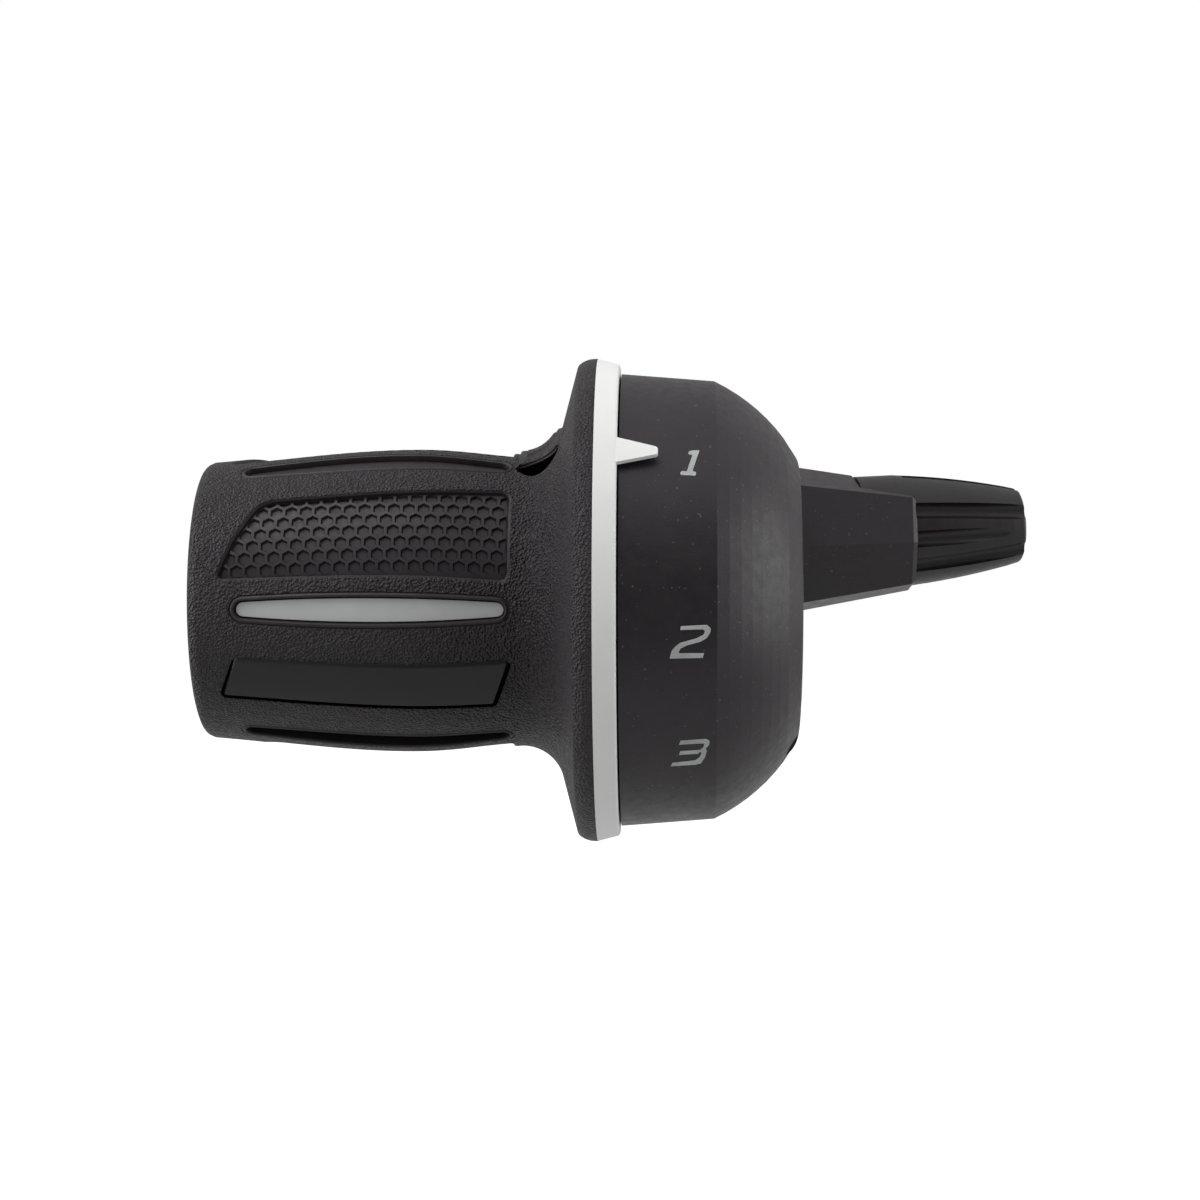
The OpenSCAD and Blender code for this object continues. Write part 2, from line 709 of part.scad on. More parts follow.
// Leaf spring with a pressed nose that falls into the spool's notches
module detent_spring() {
    nose_r = detent_r - notch_depth + leaf_t;
    line = [[-leaf_half, leaf_r], [-leaf_nose, leaf_r], [0, nose_r],
            [leaf_nose, leaf_r], [leaf_half, leaf_r]];
    color(steel) lengthwise(concat([for (p = line) p + [0, leaf_t / 2]],
                                   [for (i = [len(line) - 1 : -1 : 0]) line[i] - [0, leaf_t / 2]]),
                            leaf_mid_x - leaf_w / 2, leaf_mid_x + leaf_w / 2, spring_turn);
}

// Spring clip that holds the spool on the hub
module retaining_clip() {
    color(steel) arc_block(hub_r - clip_sink + fit_gap, hub_r - clip_sink + clip_w, clip_x0 + fit_gap / 2,
                           clip_x0 + clip_t + fit_gap / 2, quarter, clip_half);
}

// Slippery washer between spool and hub collar
module thrust_washer() {
    color(acetal) turned([[spool_bore_r, washer_x0], [flange_r - face_gap, washer_x0],
                          [flange_r - face_gap, washer_x0 + washer_t],
                          [spool_bore_r, washer_x0 + washer_t]]);
}

// Elbow that leads the cable from the spool into the outlet
module cable_guide() {
    color(acetal) difference() {
        guide_form(guide_r);
        guide_form(guide_bore_r);
    }
}

// Brass insert with the adjuster's thread
module threaded_insert() {
    u0 = pocket_floor_u - insert_len + fit_gap;
    u1 = pocket_floor_u + insert_flange_t;
    hole = stem_r + stem_clearance;
    waist = insert_r - thread_depth;
    band = insert_len / 5;
    color(brass) at_outlet() turned([
        [hole, u0], [insert_r - fit_gap, u0], [insert_r - fit_gap, u0 + band], [waist, u0 + band],
        [waist, u0 + 2 * band], [insert_r - fit_gap, u0 + 2 * band], [insert_r - fit_gap, pocket_floor_u],
        [insert_r + insert_flange_w, pocket_floor_u], [insert_r + insert_flange_w, u1], [hole, u1]]);
}

// Points of one ring of the click spring at step i
function coil_ring(i, steps, r, u0, u1) =
    let (a = whole_turn * click_turns * i / steps, u = u0 + (u1 - u0) * i / steps)
    [for (k = [0 : wire_sides - 1]) let (b = whole_turn * k / wire_sides, q = r + click_wire_d / 2 * cos(b))
        [u + click_wire_d / 2 * sin(b), q * cos(a), q * sin(a)]];

// Compression spring that presses the collar to the knob
module click_spring() {
    steps = 14 * click_turns;
    u0 = pocket_floor_u + insert_flange_t + click_wire_d / 2;
    u1 = collar_u0 - click_wire_d / 2;
    r = pocket_r - click_wire_d;
    last = steps * wire_sides;
    points = [for (i = [0 : steps]) each coil_ring(i, steps, r, u0, u1)];
    sides = [for (i = [0 : steps - 1], k = [0 : wire_sides - 1])
        let (a = i * wire_sides + k, b = i * wire_sides + (k + 1) % wire_sides)
        [a, a + wire_sides, b + wire_sides, b]];
    color(steel) at_outlet()
        polyhedron(points, concat(sides, [[for (k = [0 : wire_sides - 1]) k]],
                                  [[for (k = [wire_sides - 1 : -1 : 0]) last + k]]), convexity = 2 * click_turns);
}

// Keyed collar that slides in the outlet and clicks against the knob
module click_collar() {
    color(acetal) at_outlet() difference() {
        union() {
            turned([[0, collar_u0], [pocket_r - collar_clearance, collar_u0],
                    [pocket_r - collar_clearance, collar_u1], [0, collar_u1]]);
            for (side = [-1, 1])
                translate([collar_u0, collar_clearance - key_w / 2,
                           side > 0 ? 0 : collar_clearance - pocket_r - key_h])
                    cube([collar_t, key_w - 2 * collar_clearance, pocket_r + key_h - collar_clearance]);
        }
        turned([[0, collar_u0 - overrun], [stem_r + collar_clearance, collar_u0 - overrun],
                [stem_r + collar_clearance, collar_u1 + overrun], [0, collar_u1 + overrun]]);
    }
}

// Hollow threaded stem with the head that the knob is moulded on
module adjuster_stem() {
    u0 = pocket_floor_u - insert_len + fit_gap;
    head_u0 = stem_u1 - stem_head_len;
    rings = [for (i = [0 : thread_rings - 1]) let (u = u0 + (i + 0.5) * stem_pitch)
        each [[stem_r, u], [stem_r - thread_depth, u + stem_pitch / 2]]];
    color(brass) at_outlet() turned(concat(
        [[stem_bore_d / 2, u0], [stem_r - thread_depth, u0]], rings,
        [[stem_r, u0 + (thread_rings + 1) * stem_pitch], [stem_r, head_u0], [stem_head_r, head_u0],
         [stem_head_r, stem_u1], [stem_bore_d / 2, stem_u1]]));
}

// Fluted knob with a plain skirt
module adjuster_knob() {
    root = [knob_root_r, skirt_u1];
    tip = [knob_tip_r, knob_u1];
    side = concat([[skirt_r, skirt_u0], [skirt_r, skirt_u1 - knob_edge], root],
                  bulged(root, tip, -knob_bulge),
                  corner(root, tip, [0, knob_u1], knob_edge),
                  [[0, knob_u1]]);
    head_u0 = stem_u1 - stem_head_len;
    color(shell_black) at_outlet() difference() {
        turned(concat([[0, skirt_u0]], side));
        turned([[0, skirt_u0 - overrun], [stem_r + fit_gap, skirt_u0 - overrun],
                [stem_r + fit_gap, head_u0 - fit_gap],
                [stem_head_r + fit_gap, head_u0 - fit_gap], [stem_head_r + fit_gap, stem_u1],
                [casing_r, stem_u1],
                [casing_r, knob_u1 + overrun], [0, knob_u1 + overrun]]);
        for (lobe = [0 : lobes - 1], i = [0 : lobe_flutes - 1])
            rotate([outlet_turn + quarter - flute_turn + (i - (lobe_flutes - 1) / 2) * flute_pitch
                    + lobe * whole_turn / lobes, 0, 0])
                translate([skirt_u1 + knob_edge, 0, knob_root_r + flute_r - flute_depth])
                    rotate([0, i == 1 ? short_flute_lean : flute_lean, 0])
                        rotate([0, quarter, 0]) cylinder(r = flute_r, h = knob_len + overrun);
    }
}

// Spool that winds the cable, with detent notches, stop lug and drive dogs
module cable_spool() {
    notch = [[-notch_w / 2, detent_r + overrun / 2], [-notch_w / 2, detent_r],
             [0, detent_r - notch_depth - leaf_t / 2],
             [notch_w / 2, detent_r], [notch_w / 2, detent_r + overrun / 2]];
    clip_space_r = hub_r - clip_sink + clip_w + clip_room;
    color(shell_black) difference() {
        union() {
            turned([[spool_bore_r, spool_x0], [detent_r, spool_x0],
                    [detent_r, detent_x1], [flange_r, detent_x1],
                    [flange_r, groove_x0], [groove_floor_r, groove_x0], [groove_floor_r, groove_x1],
                    [flange_r, groove_x1], [flange_r, spool_x1], [spool_bore_r, spool_x1]]);
            arc_block(detent_r - overrun, detent_r + lug_h, spool_x0 + ring_w, detent_x1,
                      lug_turn, lug_half);
            for (i = [0 : dog_count - 1])
                arc_block(dog_r0, dog_r1, ring_x0 - dog_reach, spool_x0 + overrun,
                          i * whole_turn / dog_count, dog_half);
        }
        turned([[spool_bore_r - overrun, spool_x0 - overrun], [clip_space_r, spool_x0 - overrun],
                [clip_space_r, clip_x0 + clip_t + clip_room],
                [spool_bore_r - overrun, clip_x0 + clip_t + clip_room]]);
        for (twist = [0, second_twist, third_twist])
            lengthwise(notch, spool_x0 - overrun, detent_x1 + overrun, spring_turn + twist);
        lengthwise([[-cable_d, groove_floor_r - spool_wall / 2], [cable_d, groove_floor_r - spool_wall / 2],
                    [cable_d, flange_r + overrun], [-cable_d, flange_r + overrun]],
                   groove_x0 - cable_d, groove_x1, lug_turn - quarter);
    }
}

// White ring with the pointer that reads the gear
module indicator_ring() {
    outer = rim_r - ring_fall;
    mid_x = ring_x0 + ring_w / 2;
    tip_x = ring_x1 + pointer_len;
    under = outer - pointer_t;
    pointer = rounded([[mid_x, -pointer_w / 2], [ring_x1, -pointer_w / 2], [tip_x, -pointer_tip_w / 2],
                       [tip_x, pointer_tip_w / 2], [ring_x1, pointer_w / 2], [mid_x, pointer_w / 2]],
                      [0, 0, pointer_round, pointer_round, 0, 0]);
    color(ring_white) difference() {
        union() {
            turned(concat([[barrel_r + fit_gap, ring_x0], [rim_r, ring_x0]],
                          corner([rim_r, ring_x0], [outer, ring_x1], [0, ring_x1], ring_round),
                          [[barrel_r + fit_gap, ring_x1]]));
            intersection() {
                turned([[under, mid_x], [outer, mid_x], [outer, ring_x1],
                        [outer - band_draft / 3, tip_x + overrun],
                        [under - band_draft / 3, tip_x + overrun], [under, ring_x1]]);
                radial(pointer, mouth_r / 2, rim_r + overrun, first_turn);
            }
        }
        for (i = [0 : dog_count - 1])
            arc_block(dog_r0 - dog_clearance, dog_r1 + dog_clearance, ring_x0 - overrun, ring_x1 + overrun,
                      i * whole_turn / dog_count, dog_half + dog_play);
    }
}

// Inner barrel with a flange and the lands that show through the rubber
module grip_barrel() {
    places = swell_places(grip_x0 + end_round, flare_x);
    land = concat([[barrel_r / 2, places[0]]], [for (x = places) [skin_r(x) - window_depth, x]],
                  [[barrel_r / 2, flare_x]]);
    color(barrel_grey) difference() {
        union() {
            turned([[0, grip_x0 + end_round / 2], [barrel_r, grip_x0 + end_round / 2],
                    [barrel_r, barrel_x1],
                    [0, barrel_x1]]);
            turned([[0, ring_x0 - barrel_flange_t], [barrel_flange_r, ring_x0 - barrel_flange_t],
                    [barrel_flange_r, ring_x0 - fit_gap], [0, ring_x0 - fit_gap]]);
            intersection() {
                turned(land);
                union() for (turn = white_turns) radial(boat(-land_gap), barrel_r - overrun, rim_r, turn);
            }
        }
        turned([[0, grip_x0 - overrun], [barrel_bore_r, grip_x0 - overrun],
                [barrel_bore_r, overrun], [0, overrun]]);
        for (i = [0 : dog_count - 1])
            arc_block(dog_r0 - dog_clearance, dog_r1 + dog_clearance, ring_x0 - dog_reach - dog_clearance,
                      ring_x1 + overrun, i * whole_turn / dog_count, dog_half + dog_play);
    }
}

// Outline of the rubber from the grip's end to the rim, and back along its inner face
function cover_outline() =
    let (s = flare_slope, rim = [rim_x, rim_r - rim_round])
    concat([[barrel_r + fit_gap, grip_x0], [skin_r(grip_x0) - end_round, grip_x0]],
           [for (i = [1 : corner_steps - 1]) let (a = quarter * i / corner_steps)
               [skin_r(grip_x0) - end_round * (1 - sin(a)), grip_x0 + end_round * (1 - cos(a))]],
           [for (x = swell_places(grip_x0 + end_round, flare_x)) [skin_r(x), x]],
           [for (i = [1 : curve_steps]) let (a = s * i / curve_steps)
               [waist_r + flare_round * (1 - cos(a)), flare_x + flare_round * sin(a)]],
           [for (i = [0 : corner_steps]) let (a = s * (1 - i / corner_steps))
               [rim[1] + rim_round * cos(a), rim[0] - rim_round * sin(a)]],
           [[rim_r, ring_x0 - fit_gap], [barrel_flange_r + fit_gap, ring_x0 - fit_gap],
            [barrel_flange_r + fit_gap, ring_x0 - barrel_flange_t - fit_gap],
            [barrel_r + fit_gap, ring_x0 - barrel_flange_t - fit_gap]]);

// Body of the rubber's outer surface moved in or out by a distance, for cutting pads and the plaque
module skin_body(offset) {
    places = swell_places(grip_x0, flare_x);
    turned(concat([[0, grip_x0]], [for (x = places) [skin_r(x) + offset, x]], [[0, flare_x]]));
}

// Outline of a honeycomb pad, with its slanting outer end
function pad_outline() = rounded(
    [[pad_x0, pad_lift - pad_h / 2], [pad_x1, -pad_h / 2], [pad_x1, pad_h / 2],
     [pad_x0 + pad_slant, pad_h / 2 - pad_fall],
     [pad_x0 + pad_knee_share * pad_slant, pad_knee_rise_share * pad_h - pad_h / 2]],
    [pad_corner / 2, pad_corner, pad_corner, pad_big_corner, pad_big_corner]);

// Outline of the plain plaque
function plaque_outline() = rounded(
    [[plaque_x0, (plaque_drop - plaque_h) / 2], [plaque_x1 - plaque_slant, -(plaque_drop + plaque_h) / 2],
     [plaque_x1, plaque_h / 2], [plaque_x0 + plaque_slant, plaque_h / 2]],
    [pad_corner / 2, pad_corner / 2, pad_corner / 2, pad_corner / 2]);

// Crescent behind the flap that is peeled back to change the cable
function flap_outline() =
    let (a = [flap_x0, 0], b = [flap_x0 + flap_len, 0])
    concat([a], bulged(a, b, flap_rise), [b], bulged(b, a, flap_drop));

// Rubber cover with windows, finger grooves, honeycomb pads and the plain plaque
module grip_cover() {
    color(rubber_black) difference() {
        union() {
            turned(cover_outline());
            intersection() {
                difference() {
                    skin_body(plaque_rise);
                    turned([[0, grip_x0 - overrun], [barrel_r + overrun, grip_x0 - overrun],
                            [barrel_r + overrun, 0], [0, 0]]);
                }
                radial(plaque_outline(), barrel_r, rim_r, plaque_turn);
            }
        }
        for (turn = white_turns) radial(boat(0), barrel_r / 2, rim_r, turn);
        difference() {
            union() for (turn = black_turns) radial(boat(0), barrel_r, rim_r, turn);
            skin_body(-groove_recess);
        }
        difference() {
            union() for (turn = pad_turns) radial(pad_outline(), barrel_r, rim_r, turn);
            skin_body(-pad_depth);
        }
        radial(flap_outline(), barrel_r + rubber_floor, rim_r, flap_turn);
    }
}

housing();
clamp_bolt();
clamp_washer();
clamp_sleeve();
detent_spring();
retaining_clip();
thrust_washer();
cable_guide();
threaded_insert();
click_spring();
click_collar();
adjuster_stem();
adjuster_knob();
cable_spool();
indicator_ring();
grip_barrel();
grip_cover();
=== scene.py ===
"""Twist grip shifter for a bicycle handlebar, dressed and lit for its picture.

Size fields are in millimetres and degrees, and meshes are made in metres in the part's own frame:
X runs along the handlebar towards the cable outlet, and Z is up. A turn is an angle about the bar,
where 0 faces the rider, who looks along +Y, and 90 is up.
"""
from __future__ import annotations

import json
import logging
import math
from dataclasses import dataclass, field
from enum import Enum, IntEnum

import bmesh
import bpy
import numpy as np
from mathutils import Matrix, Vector
from mathutils.geometry import delaunay_2d_cdt

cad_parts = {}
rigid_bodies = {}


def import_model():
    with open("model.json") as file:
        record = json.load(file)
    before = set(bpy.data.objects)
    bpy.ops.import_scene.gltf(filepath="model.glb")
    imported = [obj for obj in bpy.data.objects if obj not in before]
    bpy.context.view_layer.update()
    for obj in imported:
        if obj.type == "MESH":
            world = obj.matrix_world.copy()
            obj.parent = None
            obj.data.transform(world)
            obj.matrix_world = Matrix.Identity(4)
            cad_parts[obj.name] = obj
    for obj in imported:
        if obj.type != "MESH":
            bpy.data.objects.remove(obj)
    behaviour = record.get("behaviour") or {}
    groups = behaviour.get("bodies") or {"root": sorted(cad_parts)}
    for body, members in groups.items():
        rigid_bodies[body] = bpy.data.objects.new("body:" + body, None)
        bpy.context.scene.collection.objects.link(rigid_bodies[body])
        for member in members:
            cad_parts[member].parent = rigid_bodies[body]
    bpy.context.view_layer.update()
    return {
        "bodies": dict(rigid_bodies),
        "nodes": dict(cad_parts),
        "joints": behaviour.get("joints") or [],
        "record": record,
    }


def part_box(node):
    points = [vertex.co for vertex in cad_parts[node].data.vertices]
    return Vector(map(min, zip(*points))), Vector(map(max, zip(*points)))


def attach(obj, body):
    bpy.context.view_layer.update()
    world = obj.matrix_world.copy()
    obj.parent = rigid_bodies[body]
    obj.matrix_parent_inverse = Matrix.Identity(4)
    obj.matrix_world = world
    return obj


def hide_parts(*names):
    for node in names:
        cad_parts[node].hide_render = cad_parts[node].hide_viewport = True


LOG = logging.getLogger("twist_grip_shifter")
MM = 0.001
# Longest side of a ring on the rubber, and the distance from which a feature's shift moves its rings
RING_STEP, SHIFTED_FROM = 0.55, 0.1
# Space that the rubber's own points keep from a ring, and the smallest honeycomb pit, in square millimetres
RING_CLEAR, SMALLEST_PIT = 0.17, 0.12
# Angles above which an edge is shaded sharp
SHARP, PAINT_SHARP = 38.0, 60.0
Point = tuple[float, float]
Triple = tuple[float, float, float]
Outline = list[Point]
Socket = bpy.types.NodeSocket
Tree = bpy.types.NodeTree
Item = bpy.types.Object


def on_bar(x: float, r: float, angle: float) -> Vector:
    """Gives the point in metres at a place along the bar, a radius and an angle in radians."""
    return Vector((x, -r * math.cos(angle), r * math.sin(angle))) * MM


def signed_area(points: Outline) -> float:
    """Gives twice the area of a closed outline, above zero where it runs anticlockwise."""
    return sum(points[i - 1][0] * points[i][1] - points[i][0] * points[i - 1][1] for i in range(len(points)))


def placed(name: str, data: bpy.types.ID) -> Item:
    """Makes an object of a mesh, lamp or camera and puts it in the scene."""
    item = bpy.data.objects.new(name, data)
    bpy.context.scene.collection.objects.link(item)
    return item


def map_range(tree: Tree, value: Socket, span: Point, result: Point, how: str = "LINEAR") -> Socket:
    """Maps one span of a value on to another and holds it there.

    Args:
        tree: Node tree that gets the node.
        value: The value.
        span: Where the value starts and ends.
        result: What it becomes there.
        how: Name of the interpolation.

    Returns:
        The mapped value.
    """
    node = tree.nodes.new("ShaderNodeMapRange")
    node.interpolation_type = how
    for key, number in zip(("From Min", "From Max", "To Min", "To Max"), (*span, *result)):
        node.inputs[key].default_value = number
    tree.links.new(value, node.inputs["Value"])
    return node.outputs["Result"]


def math_node(tree: Tree, how: str, a: Socket, b: Socket | float) -> Socket:
    """Combines a value with another value or a number by a named operation of the Math node."""
    node = tree.nodes.new("ShaderNodeMath")
    node.operation = how
    tree.links.new(a, node.inputs[0])
    if isinstance(b, float):
        node.inputs[1].default_value = b
    else:
        tree.links.new(b, node.inputs[1])
    return node.outputs[0]


def corner(a: Point, b: Point, c: Point, radius: float, steps: int = 6) -> Outline:
    """Rounds the corner b between its neighbours a and c.

    Args:
        a: Point before the corner.
        b: The corner.
        c: Point after the corner.
        radius: Radius of the rounding.
        steps: Number of chords in the arc.

    Returns:
        Points of the arc, from the side of a to the side of c.
    """
    u = Vector(a) - Vector(b)
    v = Vector(c) - Vector(b)
    u.normalize()
    v.normalize()
    half = math.acos(max(-1.0, min(1.0, u.dot(v)))) / 2
    centre = Vector(b) + (u + v).normalized() * radius / math.sin(half)
    p = Vector(b) + u * radius / math.tan(half) - centre
    q = Vector(b) + v * radius / math.tan(half) - centre
    start = math.atan2(p.y, p.x)
    turn = math.atan2(p.x * q.y - p.y * q.x, p.dot(q))
    return [(centre.x + radius * math.cos(start + turn * i / steps),
             centre.y + radius * math.sin(start + turn * i / steps)) for i in range(steps + 1)]


def rounded(points: Outline, radii: list[float]) -> Outline:
    """Rounds each corner of a closed outline by its own radius.

    Args:
        points: Corners of the outline.
        radii: Radius of each corner, where 0 keeps it sharp.

    Returns:
        The rounded outline.
    """
    n = len(points)
    out: Outline = []
    for i, (p, r) in enumerate(zip(points, radii)):
        out += corner(points[i - 1], p, points[(i + 1) % n], r) if r > 0 else [p]
    return out


def spaced(points: Outline, step: float) -> Outline:
    """Adds points to the long sides of a closed outline.

    Args:
        points: The outline.
        step: Longest side that is left whole.

    Returns:
        The outline with no side longer than the step.
    """
    out: Outline = []
    for i, (x, y) in enumerate(points):
        nx, ny = points[(i + 1) % len(points)]
        count = max(1, math.ceil(math.hypot(nx - x, ny - y) / step))
        out += [(x + (nx - x) * k / count, y + (ny - y) * k / count) for k in range(count)]
    return out


def grown(points: Outline, distance: float) -> Outline:
    """Moves a closed outline out along its own normals.

    Args:
        points: The outline, either way round.
        distance: Distance, which is inwards below zero.

    Returns:
        The moved outline, point for point.
    """
    n = len(points)
    side = 1.0 if signed_area(points) > 0 else -1.0
    out: Outline = []
    for i in range(n):
        a, b, c = Vector(points[i - 1]), Vector(points[i]), Vector(points[(i + 1) % n])
        u, v = (b - a).normalized(), (c - b).normalized()
        normal = (Vector((u.y, -u.x)) + Vector((v.y, -v.x))).normalized() * side
        out.append((b.x + normal.x * distance, b.y + normal.y * distance))
    return out


def clipped(points: Outline, frame: Outline) -> Outline:
    """Cuts a convex outline to the inside of another convex outline.

    Args:
        points: The outline to cut.
        frame: The outline that limits it, anticlockwise.

    Returns:
        The part inside, which may be empty.
    """
    out = points
    for i in range(len(frame)):
        (ax, ay), (bx, by) = frame[i - 1], frame[i]
        kept: Outline = []
        for k in range(len(out)):
            p, q = out[k - 1], out[k]
            dp = (bx - ax) * (p[1] - ay) - (by - ay) * (p[0] - ax)
            dq = (bx - ax) * (q[1] - ay) - (by - ay) * (q[0] - ax)
            if (dp < 0) != (dq < 0):
                t = dp / (dp - dq)
                kept.append((p[0] + t * (q[0] - p[0]), p[1] + t * (q[1] - p[1])))
            if dq >= 0:
                kept.append(q)
        out = kept
        if not out:
            break
    return out


def inside(points: np.ndarray, outline: np.ndarray) -> np.ndarray:
    """Tells which points lie inside a closed outline.

    Args:
        points: Points, one a row.
        outline: Corners of the outline, one a row.

    Returns:
        One truth value for each point.
    """
    x, y = points[:, :1], points[:, 1:]
    a, b = outline, np.roll(outline, -1, axis=0)
    crosses = (a[:, 1] > y) != (b[:, 1] > y)
    with np.errstate(divide="ignore", invalid="ignore"):
        at = a[:, 0] + (y - a[:, 1]) / (b[:, 1] - a[:, 1]) * (b[:, 0] - a[:, 0])
    return (np.sum(crosses & (x < at), axis=1) % 2) == 1


def clearance(points: np.ndarray, outline: np.ndarray) -> np.ndarray:
    """Measures each point's distance from a closed outline.

    Args:
        points: Points, one a row.
        outline: Corners of the outline, one a row.

    Returns:
        One distance for each point.
    """
    a, b = outline, np.roll(outline, -1, axis=0)
    ab = b - a
    ap = points[:, None, :] - a[None]
    t = np.clip(np.sum(ap * ab, axis=2) / np.maximum(np.sum(ab * ab, axis=1), 1e-12), 0, 1)
    return np.min(np.linalg.norm(ap - t[..., None] * ab, axis=2), axis=1)


def bounded(points: np.ndarray, ring: np.ndarray, margin: float = 0.0) -> np.ndarray:
    """Finds the points within the bounds of a ring.

    Args:
        points: Points, one a row.
        ring: Corners of the ring, one a row.
        margin: How far the bounds are widened.

    Returns:
        The rows of those points.
    """
    low, high = ring.min(axis=0) - margin, ring.max(axis=0) + margin
    return np.where(np.all((points > low) & (points < high), axis=1))[0]


def make_piece(name: str, points: list[Vector], faces: list[tuple[int, ...]], body: str,
               sharp: float = SHARP) -> Item:
    """Makes one mesh object that rides on a body.

    Args:
        name: Name of the piece.
        points: Its points, in metres.
        faces: Its faces, as rows of point numbers.
        body: Body that it rides on.
        sharp: Angle between two faces above which their edge is shaded sharp.

    Returns:
        The object.
    """
    mesh = bpy.data.meshes.new(name)
    mesh.from_pydata([tuple(p) for p in points], [], faces)
    mesh.validate()
    mesh.polygons.foreach_set("use_smooth", [True] * len(mesh.polygons))
    mesh.set_sharp_from_angle(angle=math.radians(sharp))
    piece = placed(name, mesh)
    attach(piece, body)
    return piece


class Graph:
    """Node graph of one material, with the steps that the finishes share."""

    def __init__(self, name: str) -> None:
        """Starts an empty material with one Principled shader."""
        self.material = bpy.data.materials.new(name)
        self.material.use_nodes = True
        self.tree = self.material.node_tree
        self.tree.nodes.clear()
        self.shader = self.tree.nodes.new("ShaderNodeBsdfPrincipled")
        out = self.tree.nodes.new("ShaderNodeOutputMaterial")
        self.tree.links.new(self.shader.outputs[0], out.inputs["Surface"])
        self.coordinates = self.tree.nodes.new("ShaderNodeTexCoord").outputs["Object"]

    def join(self, source: Socket, target: Socket) -> None:
        """Links one socket to another."""
        self.tree.links.new(source, target)

    def stretched(self, x: float, y: float, z: float) -> Socket:
        """Scales the object's coordinates by one factor for each axis."""
        node = self.tree.nodes.new("ShaderNodeMapping")
        node.inputs["Scale"].default_value = (x, y, z)
        self.join(self.coordinates, node.inputs["Vector"])
        return node.outputs["Vector"]

    def noise(self, size_mm: float, detail: float = 2.0, place: Socket | None = None) -> Socket:
        """Adds a noise texture.

        Args:
            size_mm: Size of its largest lumps.
            detail: How many finer layers it has.
            place: Coordinates, or None for the object's own.

        Returns:
            Its value from 0 to 1.
        """
        node = self.tree.nodes.new("ShaderNodeTexNoise")
        node.inputs["Scale"].default_value = 1.0 / (size_mm * MM)
        node.inputs["Detail"].default_value = detail
        self.join(place or self.coordinates, node.inputs["Vector"])
        return node.outputs["Fac"]

    def pebbles(self, size_mm: float) -> Socket:
        """Adds a texture of smooth round pebbles of one size and returns its height."""
        node = self.tree.nodes.new("ShaderNodeTexVoronoi")
        node.feature = "SMOOTH_F1"
        node.inputs["Scale"].default_value = 1.0 / (size_mm * MM)
        node.inputs["Smoothness"].default_value = 0.35
        self.join(self.coordinates, node.inputs["Vector"])
        return node.outputs["Distance"]

    def ramp(self, value: Socket, low: float, high: float, start: float, end: float) -> Socket:
        """Maps a value's range from low to high on to start to end, and holds it there."""
        return map_range(self.tree, value, (low, high), (start, end))

    def combine(self, a: Socket, b: Socket, how: str) -> Socket:
        """Combines two values by a named operation of the Math node."""
        return math_node(self.tree, how, a, b)

    def blend(self, share: Socket, first: Triple, second: Triple) -> Socket:
        """Mixes two colours by a share and returns the mixed colour."""
        node = self.tree.nodes.new("ShaderNodeMix")
        node.data_type = "RGBA"
        node.inputs["A"].default_value = (*first, 1.0)
        node.inputs["B"].default_value = (*second, 1.0)
        self.join(share, node.inputs["Factor"])
        return node.outputs["Result"]

    def bump(self, height: Socket, depth_mm: float, strength: float = 1.0) -> None:
        """Raises the surface by a height from 0 to 1 times a depth."""
        node = self.tree.nodes.new("ShaderNodeBump")
        node.inputs["Distance"].default_value = depth_mm * MM
        node.inputs["Strength"].default_value = strength
        self.join(height, node.inputs["Height"])
        self.join(node.outputs["Normal"], self.shader.inputs["Normal"])


@dataclass(frozen=True)
class Moulded:
    """Moulded plastic with a fine eroded grain and a little dust.

    Attributes:
        name: Name of the finish.
        colour: Its colour.
        cloud: The colour of its broad, faint clouds.
        rough: Lowest and highest roughness.
        grain_mm: Size of the grain.
        depth_mm: Depth of the grain.
        specular: Strength of its gloss.
        dust: Share of the surface that carries pale specks.
    """

    name: str
    colour: Triple
    cloud: Triple
    rough: tuple[float, float]
    grain_mm: float = 0.22
    depth_mm: float = 0.012
    specular: float = 0.5
    dust: float = 0.0

    def material(self) -> bpy.types.Material:
        """Makes the material."""
        g = Graph(self.name)
        g.shader.inputs["Specular IOR Level"].default_value = self.specular
        colour = g.blend(g.ramp(g.noise(3.5, 3.0), 0.35, 0.7, 0.0, 1.0), self.colour, self.cloud)
        if self.dust > 0:
            speck = g.ramp(g.noise(0.35, 0.0), 0.80 - self.dust, 0.84 - self.dust, 0.0, 1.0)
            node = g.tree.nodes.new("ShaderNodeMix")
            node.data_type = "RGBA"
            node.inputs["B"].default_value = (*(min(1.0, c * 3 + 0.02) for c in self.cloud), 1.0)
            g.join(speck, node.inputs["Factor"])
            g.join(colour, node.inputs["A"])
            colour = node.outputs["Result"]
        g.join(colour, g.shader.inputs["Base Color"])
        g.join(g.ramp(g.noise(1.1, 2.0), 0.3, 0.7, *self.rough), g.shader.inputs["Roughness"])
        g.bump(g.noise(self.grain_mm, 1.5), self.depth_mm)
        return g.material


